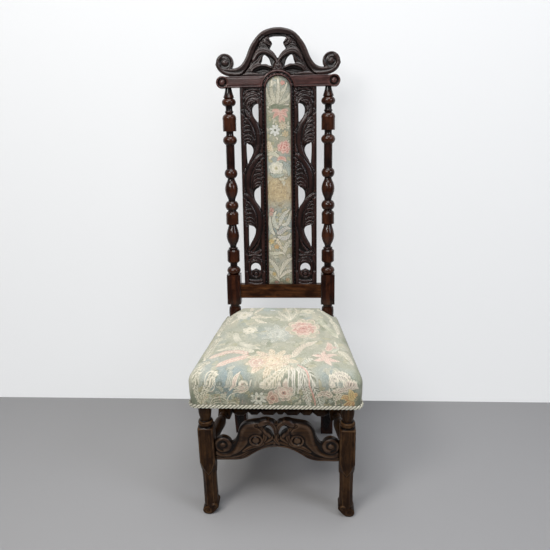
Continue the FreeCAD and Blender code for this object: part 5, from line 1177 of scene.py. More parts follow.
def planRing(side, front, rear):
    # rounded plan of the seat, each face standing off its rail; equal counts so that rings join
    slope = (seat["frontX"] - seat["rearX"]) / (seat["rear"] - seat["front"])
    frontY, rearY = seat["front"] - front, seat["rear"] + rear
    frontX, rearX = (seat["frontX"] - slope * (y - seat["front"]) + side for y in (frontY, rearY))
    corners = [Vector(spot) for spot in ((-frontX, frontY), (frontX, frontY), (rearX, rearY), (-rearX, rearY))]
    frontCount, frontArc, sideCount, rearArc, rearCount = seat["counts"]
    ring = []
    for number, corner in enumerate(corners):
        before, after = corners[number - 1], corners[(number + 1) % 4]
        setback = seat["frontRound"] if number < 2 else seat["rearRound"]
        behind, ahead = (before - corner).normalized(), (after - corner).normalized()
        half = behind.angle(ahead) / 2
        radius = setback * math.tan(half)
        centre = corner + (behind + ahead).normalized() * radius / math.sin(half)
        start, end = corner + behind * setback - centre, corner + ahead * setback - centre
        arcCount = frontArc if number < 2 else rearArc
        first = math.atan2(start.y, start.x)
        sweep = (math.atan2(end.y, end.x) - first + math.pi) % (2 * math.pi) - math.pi
        ring += [(centre.x + radius * math.cos(first + sweep * step / arcCount),
            centre.y + radius * math.sin(first + sweep * step / arcCount)) for step in range(arcCount)]
        runCount = (frontCount, sideCount, rearCount, sideCount)[number]
        following = seat["frontRound"] if number in (0, 3) else seat["rearRound"]
        begin, finishPoint = corner + ahead * setback, after - ahead * following
        ring += [tuple(begin.lerp(finishPoint, step / runCount)) for step in range(runCount)]
    return np.array(ring)


def roundPosts(ring):
    # where a ring would run through a post, it goes round the post's front instead
    ring = ring.copy()
    half, front = seat["postHalf"], seat["postFront"]
    for side in (1, -1):
        inside = np.flatnonzero((np.abs(ring[:, 0] - side * seat["postX"]) < half) & (ring[:, 1] > front))
        if not len(inside):
            continue
        first, last = side * seat["postX"] + half, side * seat["postX"] - half
        way = np.array([(first, 0.2), (first, front), (last, front), (last, 0.2)])
        runs = np.concatenate([[0], np.cumsum(np.linalg.norm(np.diff(way, axis=0), axis=1))])

        def share(place):
            # how far along the way round the post the nearest place lies
            best = (9.0, 0.0)
            for start, end, gone in zip(way, way[1:], runs):
                along = unit(np.dot(place - start, end - start) / np.dot(end - start, end - start))
                best = min(best, (np.linalg.norm(start + (end - start) * along - place),
                    gone + along * np.linalg.norm(end - start)))
            return best[1]

        enter, leave = share(ring[inside[0] - 1]), share(ring[inside[-1] + 1])
        steps = np.linspace(enter, leave, len(inside) + 2)[1:-1]
        for corner in runs[1:3]:
            if enter < corner < leave:
                steps[np.argmin(np.abs(steps - corner))] = corner
        ring[inside] = np.column_stack([np.interp(steps, runs, way[:, axis]) for axis in (0, 1)])
    return ring


def seatRise(x, y):
    # the crown is fuller towards the rear, and drawn down beside each post
    def soft(value):
        value = unit(value)
        return value * value * (3 - 2 * value)

    inward = seat["liftSide"] - np.abs(x)
    lift = seat["rearLift"] * soft((y - seat["liftFrom"]) / seat["liftRun"]) * soft(inward / seat["liftFade"])
    beside = soft(1.3 - np.hypot(np.abs(x) - seat["dipX"], y - seat["dipY"]) / seat["dipReach"])
    return lift + seat["midLift"] * soft(inward / seat["midFade"]) - seat["postDip"] * beside


def seatRows():
    # rings from the foot to the middle of the crown, with each point's place on the cloth
    rise = seat["crown"] - seat["foot"]
    shoulder = planRing(*[seat["stand"]] * 3)
    middle = np.array(seat["middle"])
    outward = shoulder - np.roll(shoulder, 1, 0) + np.roll(shoulder, -1, 0) - shoulder
    outward = np.column_stack([outward[:, 1], -outward[:, 0]])
    outward /= np.linalg.norm(outward, axis=1)[:, None]
    rows = []

    def addRow(ring, height, spread):
        rows.append((ring, np.full(len(ring), height), spread))

    def insetRing(swell, inset):
        out = seat["stand"] + swell - inset
        return planRing(out, out, seat["stand"] - inset * seat["rearIn"])

    for step in range(seat["sideRows"]):
        share = step / seat["sideRows"] * seat["shoulder"]
        swell = seat["bulge"] * math.sin(math.pi / 2 * min(1, max(0, share - 0.06) / 0.36))
        addRow(insetRing(swell, 0), seat["foot"] + share * rise, shoulder + outward * (seat["shoulder"] - share) * rise)
    for step in range(seat["edgeRows"]):
        turn = math.pi / 2 * step / seat["edgeRows"]
        ring = insetRing(seat["bulge"] * math.cos(turn), seat["roundIn"] * rise * (1 - math.cos(turn)))
        addRow(ring, seat["foot"] + rise * (seat["shoulder"] + seat["roundRise"] * math.sin(turn)), ring)
    edge, top = insetRing(0, seat["roundIn"] * rise), seat["shoulder"] + seat["roundRise"]
    for step in range(seat["topRows"]):
        way = step / seat["topRows"]
        ring = edge + (middle - edge) * way
        addRow(ring, seat["foot"] + rise * (top + (1 - top) * (1 - (1 - min(1, way * 1.55)) ** 2)), ring)
    return rows


def seatShell():
    rows = seatRows()
    count = len(rows[0][0])
    places, cloth = [], []
    for ring, height, spread in rows:
        p, q = spread[:, 0] * 1000, spread[:, 1] * 1000
        lump = sum(drift(p, q, wide, seed) * deep for wide, seed, deep in seat["lumps"])
        firm = unit((height - seat["foot"]) / seat["firmRun"])
        pucker = seat["puckerDepth"] * np.sin(np.arange(count) / count * 2 * np.pi * seat["puckers"]) * (1 - firm)
        push = unit(1 - (height - seat["foot"]) / 0.09)[:, None]
        away = ring - np.array(seat["middle"])
        away /= np.maximum(np.linalg.norm(away, axis=1), 1e-6)[:, None]
        side = away * (pucker + lump * firm * 0.7)[:, None] * push
        moved = roundPosts(ring + side)
        upper = unit((height - 0.44) / 0.02)
        height = height + (lump + seatRise(moved[:, 0], moved[:, 1])) * upper
        places.append(np.column_stack([moved, height]))
        cloth.append(np.column_stack([p, q]))
    faces = []
    for row in range(len(rows) - 1):
        faces += band(row * count, (row + 1) * count, count)
    top = len(rows) * count
    places.append(np.array([[*seat["middle"], places[-1][:, 2].mean()]]))
    cloth.append(np.array([[seat["middle"][0] * 1000, seat["middle"][1] * 1000]]))
    faces += [((len(rows) - 1) * count + i, (len(rows) - 1) * count + (i + 1) % count, top) for i in range(count)]
    # the skirt's inner face, then the flat underside on the hessian
    start = top + 1
    ring = roundPosts(planRing(*[seat["skirt"]] * 3))
    for height in (seat["foot"], seat["under"]):
        places.append(np.column_stack([ring, np.full(count, height)]))
        cloth.append(ring * 1000)
    faces += band(start, 0, count) + band(start + count, start, count)
    faces.append([start + count + i for i in reversed(range(count))])
    return np.vstack(places), np.vstack(cloth), faces


def paintSeat(cloth, mesh):
    t = Tapestry(cloth[:, 0], cloth[:, 1], tapestry["seed"])
    # the cover's front face washed darker: partly a darker ground, partly painted shade where that face turns from the
    # light
    t.wash(unit((-258 - t.q) / 26) * 0.85, "#8b9580")
    for centre, reach, code, share in (((-110, -262), 52, "#8fa5ab", 0.85), ((138, -246), 34, "#a2b0b0", 0.8),
            ((24, -268), 30, "#87917f", 0.6), ((-30, -50), 60, "#b5c1bf", 0.7), ((-40, 105), 40, "#b6c8c8", 0.6),
            ((-86, -318), 30, "#8a8582", 0.6), ((-36, -292), 26, "#7f8379", 0.7), ((150, -318), 40, "#6f7962", 0.6)):
        far = np.hypot(t.p - centre[0], (t.q - centre[1]) * 1.1)
        t.wash(unit(1.3 - far / reach) * share, code)
    t.verdure(150, (-215, -250), (215, 135), ("sage", "groundLight", "pale", "straw"), ("cream", "straw", "cream"),
        ("deep", "sage", "moss"), 1, 0.55)
    t.verdure(120, (-225, -350), (225, -256), ("sage", "moss", "straw"), ("cream", "straw", "pale"), ("dusk", "moss"),
        0.75, 0.75)
    t.verdure(50, (-225, -345), (225, -325), ("moss", "sage"), ("straw", "moss"), ("dusk",), 0.6, 0.8)
    # left side: ferns down the edge, a plain blade, feathered leaves that point outward
    for line, width, pitch in (([-150, 60, -168, 30, -176, -10, -172, -50], 11, 9),
            ([-168, -60, -178, -100, -186, -150, -192, -196], 12, 9),
            ([-176, -200, -200, -230, -206, -270, -196, -316], 13, 10),
            ([-150, -240, -170, -262, -186, -292, -188, -322], 10, 9),
            ([-120, 96, -146, 84, -158, 60, -160, 30], 9, 8)):
        t.plume(line, width, "groundLight", pitch, "moss")
    t.leaf([-126, -40, -112, -88, -88, -122, -46, -146], 15, "#dcdaca", 60)
    t.plume([-60, -160, -96, -146, -130, -134, -168, -142], 13, "#e0dccb", 9)
    t.plume([-78, -168, -112, -158, -142, -160, -178, -184], 20, "#e5d6c8", 10, "rosePink")
    t.plume([-72, -180, -104, -194, -128, -206, -154, -224], 15, "#e6cdc0", 9, "rosePink")
    t.curl((-165, -262), 22, 1.5, 0.6, 1, "cream")
    t.curl((-196, -238), 13, -1.3, 2, 0.8, "cream")
    t.stem([-60, -258, -84, -276, -112, -284, -124, -306, -122, -335], 1.1, "cream")
    for line in ([-64, -264, -84, -262, -104, -266], [-66, -268, -84, -276, -106, -274],
            [-90, -246, -104, -258, -116, -272], [-74, -262, -88, -268, -98, -264]):
        t.leaf(line, 3.6, "pink", 6, "moss")
    for line in ([-122, -312, -140, -302, -158, -306, -172, -322], [-122, -318, -136, -322, -150, -334],
            [-120, -316, -106, -322, -98, -338]):
        t.leaf(line, 8, "deep", 7, "dusk")
    t.spray([-170, -285, -186, -300, -200, -322], 11, "straw", 6)
    # rear left cluster
    for line, width in (([-88, 40, -66, 50, -42, 46, -22, 48], 8), ([-78, 72, -66, 100, -52, 130], 6),
            ([-120, 84, -140, 96, -156, 96], 7), ([-74, 34, -56, 20, -36, 14], 6),
            ([-110, 50, -132, 46, -146, 30], 7), ([-92, 90, -88, 108, -92, 126], 6)):
        t.plume(line, width, "#e2d8c6", 7)
    t.bloom((-108, 66), 25, 0.95, 6, ((1, "#dfdccb"), (0.66, "#e6e2d0"), (0.34, "straw")), "white", "sage", 0.4)
    t.bloom((-84, -30), 21, 1, 7, ((1, "#e0dcc6"), (0.62, "#e9e4cf"), (0.3, "straw")), "white", "sage", 1)
    # middle: a pale blue flower behind, the large bloom in front of it
    for turn in range(9):
        ahead = np.array((math.cos(turn * 0.7 + 0.3), math.sin(turn * 0.7 + 0.3) * 1.1))
        t.plume([(-4, -52) + ahead * 12, (-4, -52) + ahead * 32 + (4, 0), (-4, -52) + ahead * 52], 11, "#c3c8bd", 8,
            "#9ba498", "#e2e3d8", strength=0.75)
    t.bloom((-4, -52), 26, 1.15, 7, ((1, "#c6cbc0"), (0.6, "#d2d4c8")), "#e5e6da", "#9ba498", 0.2)
    for turn in range(11):
        ahead = np.array((math.cos(turn * 0.571 + 0.5) * 1.25, math.sin(turn * 0.571 + 0.5)))
        t.plume([(-10, -206) + ahead * 16, (-10, -206) + ahead * 38 + (3, 3), (-10, -206) + ahead * 56], 13,
            "#ddd0b8" if turn % 3 else "#dfc6b6", 9, "#b5a88b", "#efe7d2")
    t.bloom((-10, -206), 36, 0.9, 8, ((1, "#e0d2b8"), (0.7, "#e3cdb2"), (0.42, "#e8dcc0")), "#f0e9d6", "#b8a888", 0.7)
    t.bloom((-50, -210), 20, 1, 6, ((1, "#dcbfb1"), (0.55, "#cfa597")), "cream", "rosePink", 0.1)
    t.flecks((-10, -206), 50, 70, ("#f2ead6", "#cdb995", "#f2ead6", "#d9b9a6"), 11, 0.8, 0.8)
    t.flecks((-4, -52), 40, 40, ("#e4e7e0", "#9faaa8"), 10, 0.8, 1.1, 0.7)
    for x, sway, foot in ((36, 2, -262), (43, 4, -276), (50, 2, -286), (57, 5, -280), (64, 3, -268)):
        t.stem([(x, -236), (x + sway, -250), (x + sway - 3, foot)], 1.6, "white", 0.95)
    t.plume([40, -224, 12, -250, -18, -262, -40, -262], 10, "#e6dcc4", 8)
    # right of it: blade, bud, lily, pink rose and the spray behind them
    t.leaf([46, -188, 66, -140, 88, -114, 112, -92], 12, "#e7d9c8", 9)
    for line in ([34, 34, 10, 58, -8, 92], [34, 34, 24, 86, 14, 130], [38, 36, 50, 86, 42, 124],
            [36, 30, 8, 34, -14, 52]):
        t.spray(line, 12, "cream", 7)
    t.bloom((84, 92), 22, 0.9, 6, ((1, "#d9d9c2"), (0.62, "#e2dfc6"), (0.3, "straw")), "cream", "sage", 0.5)
    t.bloom((73, -20), 50, 1.12, 9, ((1, "#c6c7ad"), (0.76, "#dfc1b4"), (0.6, "#d6a89b"), (0.36, "#dcb5a8")),
        "#eee5d3", "#b5807a", 0.3)
    t.flecks((73, -20), 32, 60, ("#bb7a73", "#ecd6c8", "#c98d84"), 12, 0.9, 1.1, 0.9)
    t.leaf([116, 44, 134, 14, 150, -14, 170, -58], 17, "#ced1bb", 70)
    t.plume([150, 60, 166, 36, 172, 0, 172, -36], 9, "#d6d5bf", 8)
    t.plume([112, 110, 128, 100, 146, 84, 158, 60], 8, "#d9d7c3", 8)
    t.leaf([138, -146, 146, -120, 142, -92], 9, "pink", 7, "rosePink")
    t.leaf([152, -152, 166, -124, 160, -84], 4, "#d0dace", 7)
    for line in ([134, -184, 118, -176, 98, -176], [134, -184, 120, -194, 102, -200],
            [134, -184, 146, -168, 164, -162], [134, -184, 150, -194, 170, -198], [134, -184, 138, -202, 148, -218],
            [134, -184, 128, -166, 130, -148]):
        t.leaf(line, 5.6, "#e7cdc1", 6, "red")
    t.plume([168, -140, 186, -156, 198, -180, 204, -206], 10, "#e0d9c6", 8)
    t.plume([100, -190, 84, -202, 74, -216, 68, -230], 7, "#c2d0c6", 7, "moss")
    # the long feather that falls over the front, with a pink rib
    t.plume([64, -222, 92, -250, 112, -292, 124, -338], 26, "#b3b9a6", 10, "dusk", "white", 0.6)
    t.plume([62, -224, 76, -256, 84, -290, 90, -330], 11, "#c3c4b2", 9, "dusk", "white", 0.6)
    t.stem([60, -222, 84, -246, 98, -284, 108, -330, 110, -345], 2, "#dcb2a6")
    t.stem([142, -250, 140, -272, 150, -290, 158, -320, 156, -345], 1.2, "cream")
    for line, fill in (([142, -262, 160, -250, 184, -252, 206, -268], "#d9cfc6"),
            ([146, -276, 170, -270, 196, -262, 218, -262], "#ddc6bd"),
            ([148, -292, 132, -280, 118, -282, 104, -292], "#d6b9b0"),
            ([152, -300, 166, -288, 182, -288], "#d9cdbb")):
        t.plume(line, 9, fill, 7, "moss")
    t.curl((152, -262), 15, -1.2, 2.4, 1, "cream")
    # along the front
    t.bloom((24, -280), 25, 0.95, 8, ((1, "#d8c6b7"), (0.66, "#e2cdbf"), (0.34, "#cfa597")), "cream", "#7e7a6a", 0.2)
    t.daisy((-42, -298), 22, 8, "#e2e2d6", "moss", "dusk")
    t.bloom((-6, -296), 16, 1.2, 5, ((1, "#cfb0a0"), (0.5, "#c08d80")), "#e6d7c4", "#7b6a5c", 0.6)
    for line, fill, shade in (([196, -300, 208, -284, 222, -282], "#d8a768", "rust"),
            ([196, -302, 180, -290, 170, -296], "#cfa65f", "rust"),
            ([198, -304, 208, -318, 214, -338], "orange", "rust"),
            ([196, -304, 186, -320, 190, -342], "#b98a4c", "rust"),
            ([198, -300, 196, -282, 190, -268], "#d9bd84", "moss")):
        t.leaf(line, 7.5, fill, 6, shade, "#ead9a8")
    for flower in (((-70, -332), 9, 5, "#cdb2a2", "dusk"), ((-14, -336), 9, 5, "#d7c5ae", "rust"),
            ((44, -330), 10, 6, "#d2bfae", "dusk"), ((74, -334), 8, 5, "#c9a295", "dusk"),
            ((130, -332), 10, 5, "#cfc9a9", "dusk"), ((-148, -336), 9, 5, "#d6d0ae", "dusk"),
            ((-200, -334), 10, 5, "#c7b48c", "dusk"), ((2, -330), 7, 5, "#dcd9c6", "moss"),
            ((160, -120), 8, 5, "#e5d2c6", "red"), ((30, 112), 9, 6, "#dfe0d2", "sage"),
            ((-24, 96), 9, 6, "#dbe2de", "blue"), ((124, 60), 8, 5, "#e2ddc6", "sage")):
        t.daisy(*flower, "deep" if flower[0][1] > -250 else "dusk")
    t.flecks((0, -300), 220, 200, ("#6d745f", "#ddd8c2", "#8a8878", "#d2b3a4"), 9, 0.8, 0.18, 0.6)
    t.flecks((0, -60), 200, 260, ("#e9e5d4", "#8f9781", "#d8cfb4"), 11, 0.7, 0.9, 0.5)
    # the cover's front face: darker and with more contrast, partly darker thread and partly painted shade where that
    # face turns from the light
    front = unit((-250 - t.q) / 30)[:, None]
    t.settle(1.15 + 0.35 * front, (0.9, 0.875, 0.855) - front * (0.14, 0.13, 0.19))
    t.lay(mesh, cloth)


def makeSeat():
    places, cloth, faces = seatShell()
    mesh = meshFrom("seatTapestry", places.tolist(), faces)
    paintSeat(cloth, mesh)
    pad = addPiece("seatTapestry", mesh, finishes["tapestry"])
    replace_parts(pad, "seat_cover", "seat_stuffing")


makeSeat()


# Stuffed strip up the back

backPad = {"half": 35.7, "low": 106.4, "archPlace": 690.0, "crown": -0.0168, "depth": 0.0157, "edge": 11.0}


def paintBackPad(cloth, mesh):
    t = Tapestry(cloth[:, 0], cloth[:, 1], 23)
    for place, reach, code, share in ((650, 46, "#c6c8b8", 0.8), (600, 26, "#a3ad92", 0.7),
            (395, 62, "#cdbd9a", 0.95), (472, 30, "#b4bfbe", 0.7), (300, 54, "#a5b3b3", 0.85),
            (215, 34, "#c6bd9a", 0.6), (160, 40, "#c2c0b2", 0.8), (120, 24, "#aaab93", 0.7)):
        t.wash(unit(1.4 - np.abs(t.q - place) / reach) * share, code)
    t.verdure(70, (-36, 420), (36, 720), ("sage", "groundLight", "straw"), ("cream", "straw"), ("moss", "deep"), 0.55,
        0.75)
    t.verdure(80, (-36, 106), (36, 340), ("sage", "straw", "groundLight"), ("cream", "straw", "pale"),
        ("moss", "dusk"), 0.6, 0.75)
    t.flecks((0, 388), 48, 150, ("#a8905f", "#e6d9b6", "#8f7a52", "#dccba4"), 6, 0.7, 0.95)
    # cream plumes that spread from a stem under the arch
    for line, width in (([-4, 640, -14, 662, -20, 690, -16, 716], 6), ([-4, 640, 6, 668, 20, 690, 26, 706], 6),
            ([-6, 642, -22, 652, -32, 672, -34, 694], 5), ([-2, 640, 14, 652, 28, 662, 35, 676], 5),
            ([-4, 640, 0, 668, 2, 694, 0, 720], 5), ([0, 636, 16, 640, 32, 646], 4.5),
            ([-8, 636, -22, 634, -34, 640], 4.5)):
        t.plume(line, width, "#a9b092", 5, "dusk", "cream", 0.6)
    t.flecks((0, 672), 34, 34, ("#7c8568", "#e7e3d0"), 12, 0.6, 1.4, 0.6)
    t.daisy((14, 706), 7, 5, "#dba69a", "red", "moss")
    for line, fill in (([6, 622, -6, 618, -14, 608], "#d98f86"), ([6, 624, 16, 620, 26, 610], "#dc9a90"),
            ([8, 618, 6, 606, 4, 596], "#cf837b"), ([8, 622, 20, 628, 28, 628], "#e0aca0"),
            ([6, 610, 14, 604, 18, 596], "#d98f86"), ([4, 626, -8, 630, -16, 626], "#e2b2a6")):
        t.leaf(line, 4.5, fill, 6, "red", "#ead2c2")
    t.leaf([-28, 634, -10, 640, 10, 638, 30, 640], 5, "#8d9c82", 9, "moss", "sage")
    for flower in (((-10, 572), 17, 7, "#e6e7df", "moss"), ((12, 585), 13, 8, "#d9cfb8", "sand"),
            ((20, 562), 10, 6, "#d8caa9", "sand")):
        t.daisy(*flower, "moss")
    t.bloom((16, 523), 19, 0.95, 8, ((1, "#dba197"), (0.7, "#cf857c"), (0.4, "#e2b6aa")), "#ead9cb", "#a8625c", 0.3)
    t.plume([-30, 540, -26, 520, -22, 505, -28, 490], 8, "#d6c69c", 6, "sand")
    t.plume([-34, 500, -18, 506, -6, 500, 6, 490], 5, "#b3bd9c", 6, "moss")
    t.leaf([-4, 486, 4, 492, 14, 490, 20, 482], 4, "#dc9d90", 6, "red", "#ead2c2")
    t.bloom((-8, 462), 20, 1, 8, ((1, "#dcdcc8"), (0.66, "#e3e2cd"), (0.34, "#d6cfa6")), "white", "sage", 0.2)
    t.plume([12, 478, 24, 470, 30, 456, 28, 440], 7, "#a9bcc0", 6, "moss", "pale")
    t.plume([-26, 446, -14, 440, 0, 440, 14, 444], 5, "#9fb3a6", 6, "moss", "pale")
    # blue and white leaves over the lower half
    t.stem([-10, 264, 0, 288, 8, 312, 26, 334], 1, "#c69a9c")
    for line, width, fill in (([2, 290, 4, 308, 14, 326, 30, 338], 6, "#b9c8cc"),
            ([-4, 280, -16, 296, -18, 316, -10, 334], 6, "#b4cac4"),
            ([-14, 262, -26, 276, -30, 296, -30, 318], 5, "#bfd0c8"),
            ([6, 292, 22, 296, 30, 312, 36, 336], 5, "#c6d3d2"),
            ([-8, 266, 6, 272, 20, 282, 34, 280], 6.5, "#8f9dbb"),
            ([-8, 258, 8, 252, 22, 254, 34, 266], 6.5, "#c7ccd8"),
            ([-12, 252, -24, 244, -32, 230, -30, 214], 6, "#dccb96"),
            ([-10, 250, -4, 236, 4, 224, 16, 214], 6, "#d9c08c"),
            ([36, 246, 22, 232, 14, 216, 12, 198], 7, "#cfd0bd"),
            ([-34, 206, -16, 204, 0, 208, 12, 204], 5, "#b4bf9f"),
            ([-34, 186, -20, 170, -8, 150, -2, 124], 6, "#c9ccbb"),
            ([36, 190, 18, 176, 6, 158, -2, 136], 6, "#d3cfc0"), ([36, 150, 20, 146, 8, 138, -2, 126], 5, "#d8cdbc"),
            ([-36, 148, -22, 138, -10, 128, -4, 116], 5, "#c6b98d")):
        t.plume(line, width, fill, 6, "dusk")
    for flower in (((-24, 336), 9, 6, "#d9b2a6", "red"), ((-26, 326), 7, 5, "#e0c4b6", "red"),
            ((-26, 242), 9, 6, "#e2cf96", "orange"), ((-10, 226), 8, 5, "#dfbf86", "rust"),
            ((-18, 140), 7, 5, "#d5c48e", "orange"), ((26, 196), 7, 5, "#e0dccb", "sage"),
            ((22, 122), 7, 5, "#cfb48e", "rust"), ((-12, 112), 6, 5, "#c79a86", "rust"),
            ((4, 110), 6, 5, "#d6c7ac", "rust")):
        t.daisy(*flower, "dusk")
    t.flecks((0, 220), 130, 110, ("#e9e4d2", "#727b68", "#d8cca6"), 8, 0.7, 1, 0.6)
    # the upper part of the strip darkened by up to 14 %: painted shade against the stronger light falling there
    upper = unit((t.q - 480) / 200)[:, None]
    t.settle(1.65, (0.58, 0.56, 0.52) * (1 - 0.14 * upper))
    t.lay(mesh, cloth)


def makeBackPad():
    field = Carving((-37, 105), (37, 727.5), 0.0, (1,), 0.001)
    stadium = np.where(field.z < backPad["archPlace"] / 1000, backPad["half"] / 1000 - np.abs(field.x),
        backPad["half"] / 1000 - np.hypot(field.x, field.z - backPad["archPlace"] / 1000))
    field.solid = np.minimum(stadium, field.z - backPad["low"] / 1000)
    inset = unit(field.solid * 1000 / backPad["half"])
    lump = drift(field.x * 1000, field.z * 1000, 34, 8) * 0.0005
    field.height = -backPad["edge"] / 1000 * (1 - inset) ** 2.4 + lump - 0.0006
    pad = carvedBoard("backTapestry", field, backPad["crown"], backPad["depth"], finishes["tapestry"], backTurn)
    homeward = np.array(backTurn.inverted())
    places = np.zeros(len(pad.data.vertices) * 3)
    pad.data.vertices.foreach_get("co", places)
    places = np.column_stack([places.reshape(-1, 3), np.ones(len(places) // 3)]) @ homeward.T
    paintBackPad(places[:, [0, 2]] * 1000, pad.data)
    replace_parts(pad, "back_pad_cover", "back_pad_stuffing")


makeBackPad()


# Braid round the foot of the cover: three strands that wind round each other

braid = {"stand": 0.006, "height": 0.3682, "pitch": 0.0315, "rise": 0.0042, "reach": 0.0016, "strand": 0.0021,
    "step": 0.0015}


def braidTree():
    tree, entry, add, done = pathTree("braid", finishes["braid"], ("step", "pitch", "rise", "reach", "strand"))

    def maths(operation, first, second=None):
        return add("ShaderNodeMath", {"operation": operation}, {0: first, **({} if second is None else {1: second})})

    fine = add("GeometryNodeResampleCurve", {"mode": "LENGTH"}, {"Curve": entry["Geometry"], "Length": entry["step"]})
    along = maths("DIVIDE", maths("MULTIPLY", add("GeometryNodeSplineParameter", output=1), 2 * math.pi),
        entry["pitch"])
    outward = add("ShaderNodeVectorMath", {"operation": "CROSS_PRODUCT"},
        {0: add("GeometryNodeInputTangent"), 1: (0, 0, 1)})
    ring = add("GeometryNodeCurvePrimitiveCircle", None, {"Resolution": 7, "Radius": entry["strand"]})
    join = tree.nodes.new("GeometryNodeJoinGeometry")
    for strand in range(3):
        angle = maths("ADD", along, strand * 2 * math.pi / 3)
        aside = add("ShaderNodeVectorMath", {"operation": "SCALE"},
            {0: outward, "Scale": maths("MULTIPLY", maths("COSINE", angle), entry["reach"])})
        upward = add("ShaderNodeCombineXYZ", None, {2: maths("MULTIPLY", maths("SINE", angle), entry["rise"])})
        offset = add("ShaderNodeVectorMath", {"operation": "ADD"}, {0: aside, 1: upward})
        # how far each point of a strand faces outward; the braid's finish darkens the inward side with it, painted
        # shade
        noted = add("GeometryNodeStoreNamedAttribute", {"data_type": "FLOAT", "domain": "POINT"},
            {0: fine, "Name": "outward", "Value": maths("COSINE", angle)})
        wound = add("GeometryNodeSetPosition", None, {0: noted, "Offset": offset})
        tree.links.new(add("GeometryNodeCurveToMesh", None, {0: wound, 1: ring, "Fill Caps": True}), join.inputs[0])
    return done(join.outputs[0])


def braidPaths():
    ring = planRing(*[braid["stand"]] * 3)
    # the ring starts behind the right post, so that no run is cut in two
    ring = np.roll(ring, -int(np.argmax(ring[:, 1] * 10 - np.abs(ring[:, 0] - seat["postX"]))), 0)
    notch = (np.abs(np.abs(ring[:, 0]) - seat["postX"]) < seat["postHalf"] + 0.002) & (ring[:, 1] > seat["postFront"])
    paths, run = [], []
    for (x, y), cut in zip(ring, notch):
        if not cut:
            run.append((x, y, braid["height"]))
        elif run:
            paths.append(run)
            run = []
    return paths


braidPiece = grownPiece("braid", braidPaths(), braidTree(), braid, finishes["braid"])
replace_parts(braidPiece, "seat_braid")


# Under the seat: webbing woven over and under, hessian stretched on it

webbing = {"width": 0.05, "thick": 0.0014, "pitch": 0.092, "low": 0.4271, "front": -0.24, "rear": 0.1325,
    "setIn": 0.012, "firstRow": -0.165, "step": 0.004}


def webbingStrips():
    columns = [webbing["pitch"] * number for number in (-1, 0, 1)]
    rows = [webbing["firstRow"] + webbing["pitch"] * number for number in range(3)]
    places, faces = [], []
    slope = (seat["frontX"] - seat["rearX"]) / (seat["rear"] - seat["front"])
    for lengthways, centres, crossings in ((True, columns, rows), (False, rows, columns)):
        for number, centre in enumerate(centres):
            side = seat["frontX"] - slope * (centre + webbing["width"] / 2 - seat["front"]) - webbing["setIn"]
            low, high = (webbing["front"], webbing["rear"]) if lengthways else (-side, side)
            for line in range(int((high - low) / webbing["step"]) + 1):
                along = low + (high - low) * line / int((high - low) / webbing["step"])
                lift = 0.0
                for place, crossing in enumerate(crossings):
                    if (place + number) % 2 == (0 if lengthways else 1):
                        lift += webbing["thick"] * unit(1.9 - abs(along - crossing) / (webbing["width"] * 0.5))
                for across, up in ((-0.5, 0), (0.5, 0), (0.5, 1), (-0.5, 1)):
                    flat = centre + across * webbing["width"]
                    spot = (flat, along) if lengthways else (along, flat)
                    places.append((*spot, webbing["low"] + lift + up * webbing["thick"] * 0.96))
                if line:
                    base = len(places) - 8
                    faces += band(base, base + 4, 4)
                else:
                    faces.append([len(places) - 4 + i for i in (3, 2, 1, 0)])
            faces.append([len(places) - 4 + i for i in range(4)])
    mesh = meshFrom("webbingStrips", places, faces, False)
    rebuilt = bmesh.new()
    rebuilt.from_mesh(mesh)
    bmesh.ops.recalc_face_normals(rebuilt, faces=rebuilt.faces)
    rebuilt.to_mesh(mesh)
    rebuilt.free()
    return addPiece("webbingStrips", mesh, finishes["webbing"])


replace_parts(webbingStrips(), "seat_webbing")
hessian = {"inset": -0.0036, "low": 0.4299, "thick": 0.0008}


def hessianSheet():
    # the seat's plan, notched round the posts
    ring = planRing(*[hessian["inset"]] * 3)
    half, front, rear = seat["postHalf"], seat["postFront"], ring[:, 1].max()
    spots, inNotch = [], False
    for x, y in ring:
        notched = abs(abs(x) - seat["postX"]) < half and y > front
        if notched and not inNotch:
            side = 1 if x > 0 else -1
            spots += [(side * seat["postX"] + out, depth) for out,
                depth in ((half, rear), (half, front), (-half, front), (-half, rear))]
        elif not notched:
            spots.append((x, y))
        inNotch = notched
    count = len(spots)
    places = [(x, y, hessian["low"] + up * hessian["thick"]) for up in (0, 1) for x, y in spots]
    faces = [list(reversed(range(count))), list(range(count, 2 * count))] + band(0, count, count)
    return addPiece("hessianSheet", meshFrom("hessianSheet", places, faces, False), finishes["hessian"]), spots


hessianPiece, hessianSpots = hessianSheet()
corners = np.array(hessianSpots)
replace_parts(hessianPiece, "seat_hessian")


# Studio: pale floor and backdrop, soft light

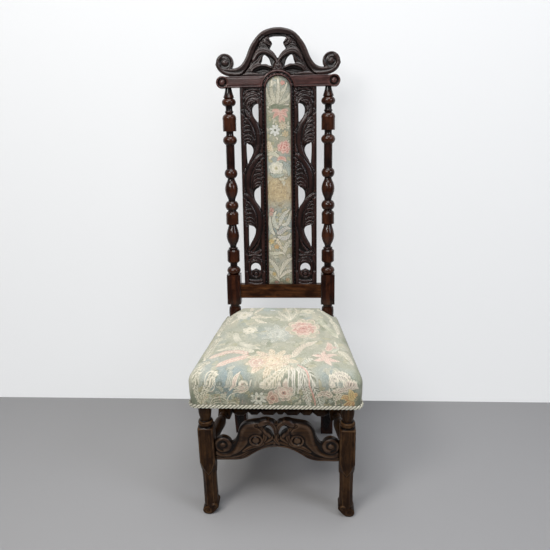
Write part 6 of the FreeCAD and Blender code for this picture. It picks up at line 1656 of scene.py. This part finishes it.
studio = {"floor": (0.33, 0.33, 0.335), "wall": (0.36, 0.365, 0.369), "size": 12, "wallDepth": 0.36, "wallGlow": 1.4,
    "aim": (0, 0, 0.6), "lamps": [("keyLamp", (-1.3, -1.9, 2.6), 0.9, 42, (1.0, 0.97, 0.94)),
    ("frontLamp", (-0.45, -2.3, 2.15), 0.6, 15, (1.0, 0.98, 0.96)),
    ("fillLamp", (1.9, -1.3, 1.9), 0.8, 16, (0.88, 0.9, 1.0)),
    ("topLamp", (0.1, -0.55, 2.9), 1.6, 44, (0.98, 0.99, 1.0))], "sky": 0.15}


def studioFinish(name, colour, glow):
    # a sheet seen from its face only; the glow reaches the camera and mirrors, and lights nothing
    finish = Finish(name)
    grainy = finish.cloud(finish.place(), 600.0, 2)
    direct, mirrored, through = (finish.node("LightPath", output="Is " + kind + " Ray")
        for kind in ("Camera", "Glossy", "Transmission"))
    seen = direct.maths("MAXIMUM", mirrored).maths("MAXIMUM", through)
    finish.feed(finish.skin.inputs["Emission Color"], finish.blend(seen, (0, 0, 0), colour))
    finish.feed(finish.skin.inputs["Alpha"], 1 - finish.node("NewGeometry", output="Backfacing"))
    return finish.finish(finish.blend(grainy * 0.12, colour, tuple(part * 0.7 for part in colour)), 0.9,
        Emission_Strength=glow)


def buildStudio():
    for name, place, turn, colour, glow in (("floor", (0, 0, 0), (0, 0, 0), studio["floor"], 0.0),
            ("backdrop", (0, studio["wallDepth"], 0), (math.radians(90), 0, 0), studio["wall"], studio["wallGlow"])):
        bpy.ops.mesh.primitive_plane_add(size=studio["size"], location=place, rotation=turn)
        sheet = bpy.context.object
        sheet.name = name
        sheet.data.materials.append(studioFinish(name + "Finish", colour, glow))
    for name, place, size, power, colour in studio["lamps"]:
        lamp = bpy.data.lights.new(name, "AREA")
        lamp.energy, lamp.size, lamp.color = power, size, colour
        holder = putIn(name, lamp)
        holder.location = place
        holder.rotation_euler = (Vector(studio["aim"]) - Vector(place)).to_track_quat("-Z", "Y").to_euler()
    world = bpy.data.worlds.new("softSky")
    world.use_nodes = True
    world.node_tree.nodes["Background"].inputs[0].default_value = (1, 1, 1, 1)
    world.node_tree.nodes["Background"].inputs[1].default_value = studio["sky"]
    bpy.context.scene.world = world
    bpy.context.scene.view_settings.view_transform = "Standard"


buildStudio()
print("studio built")
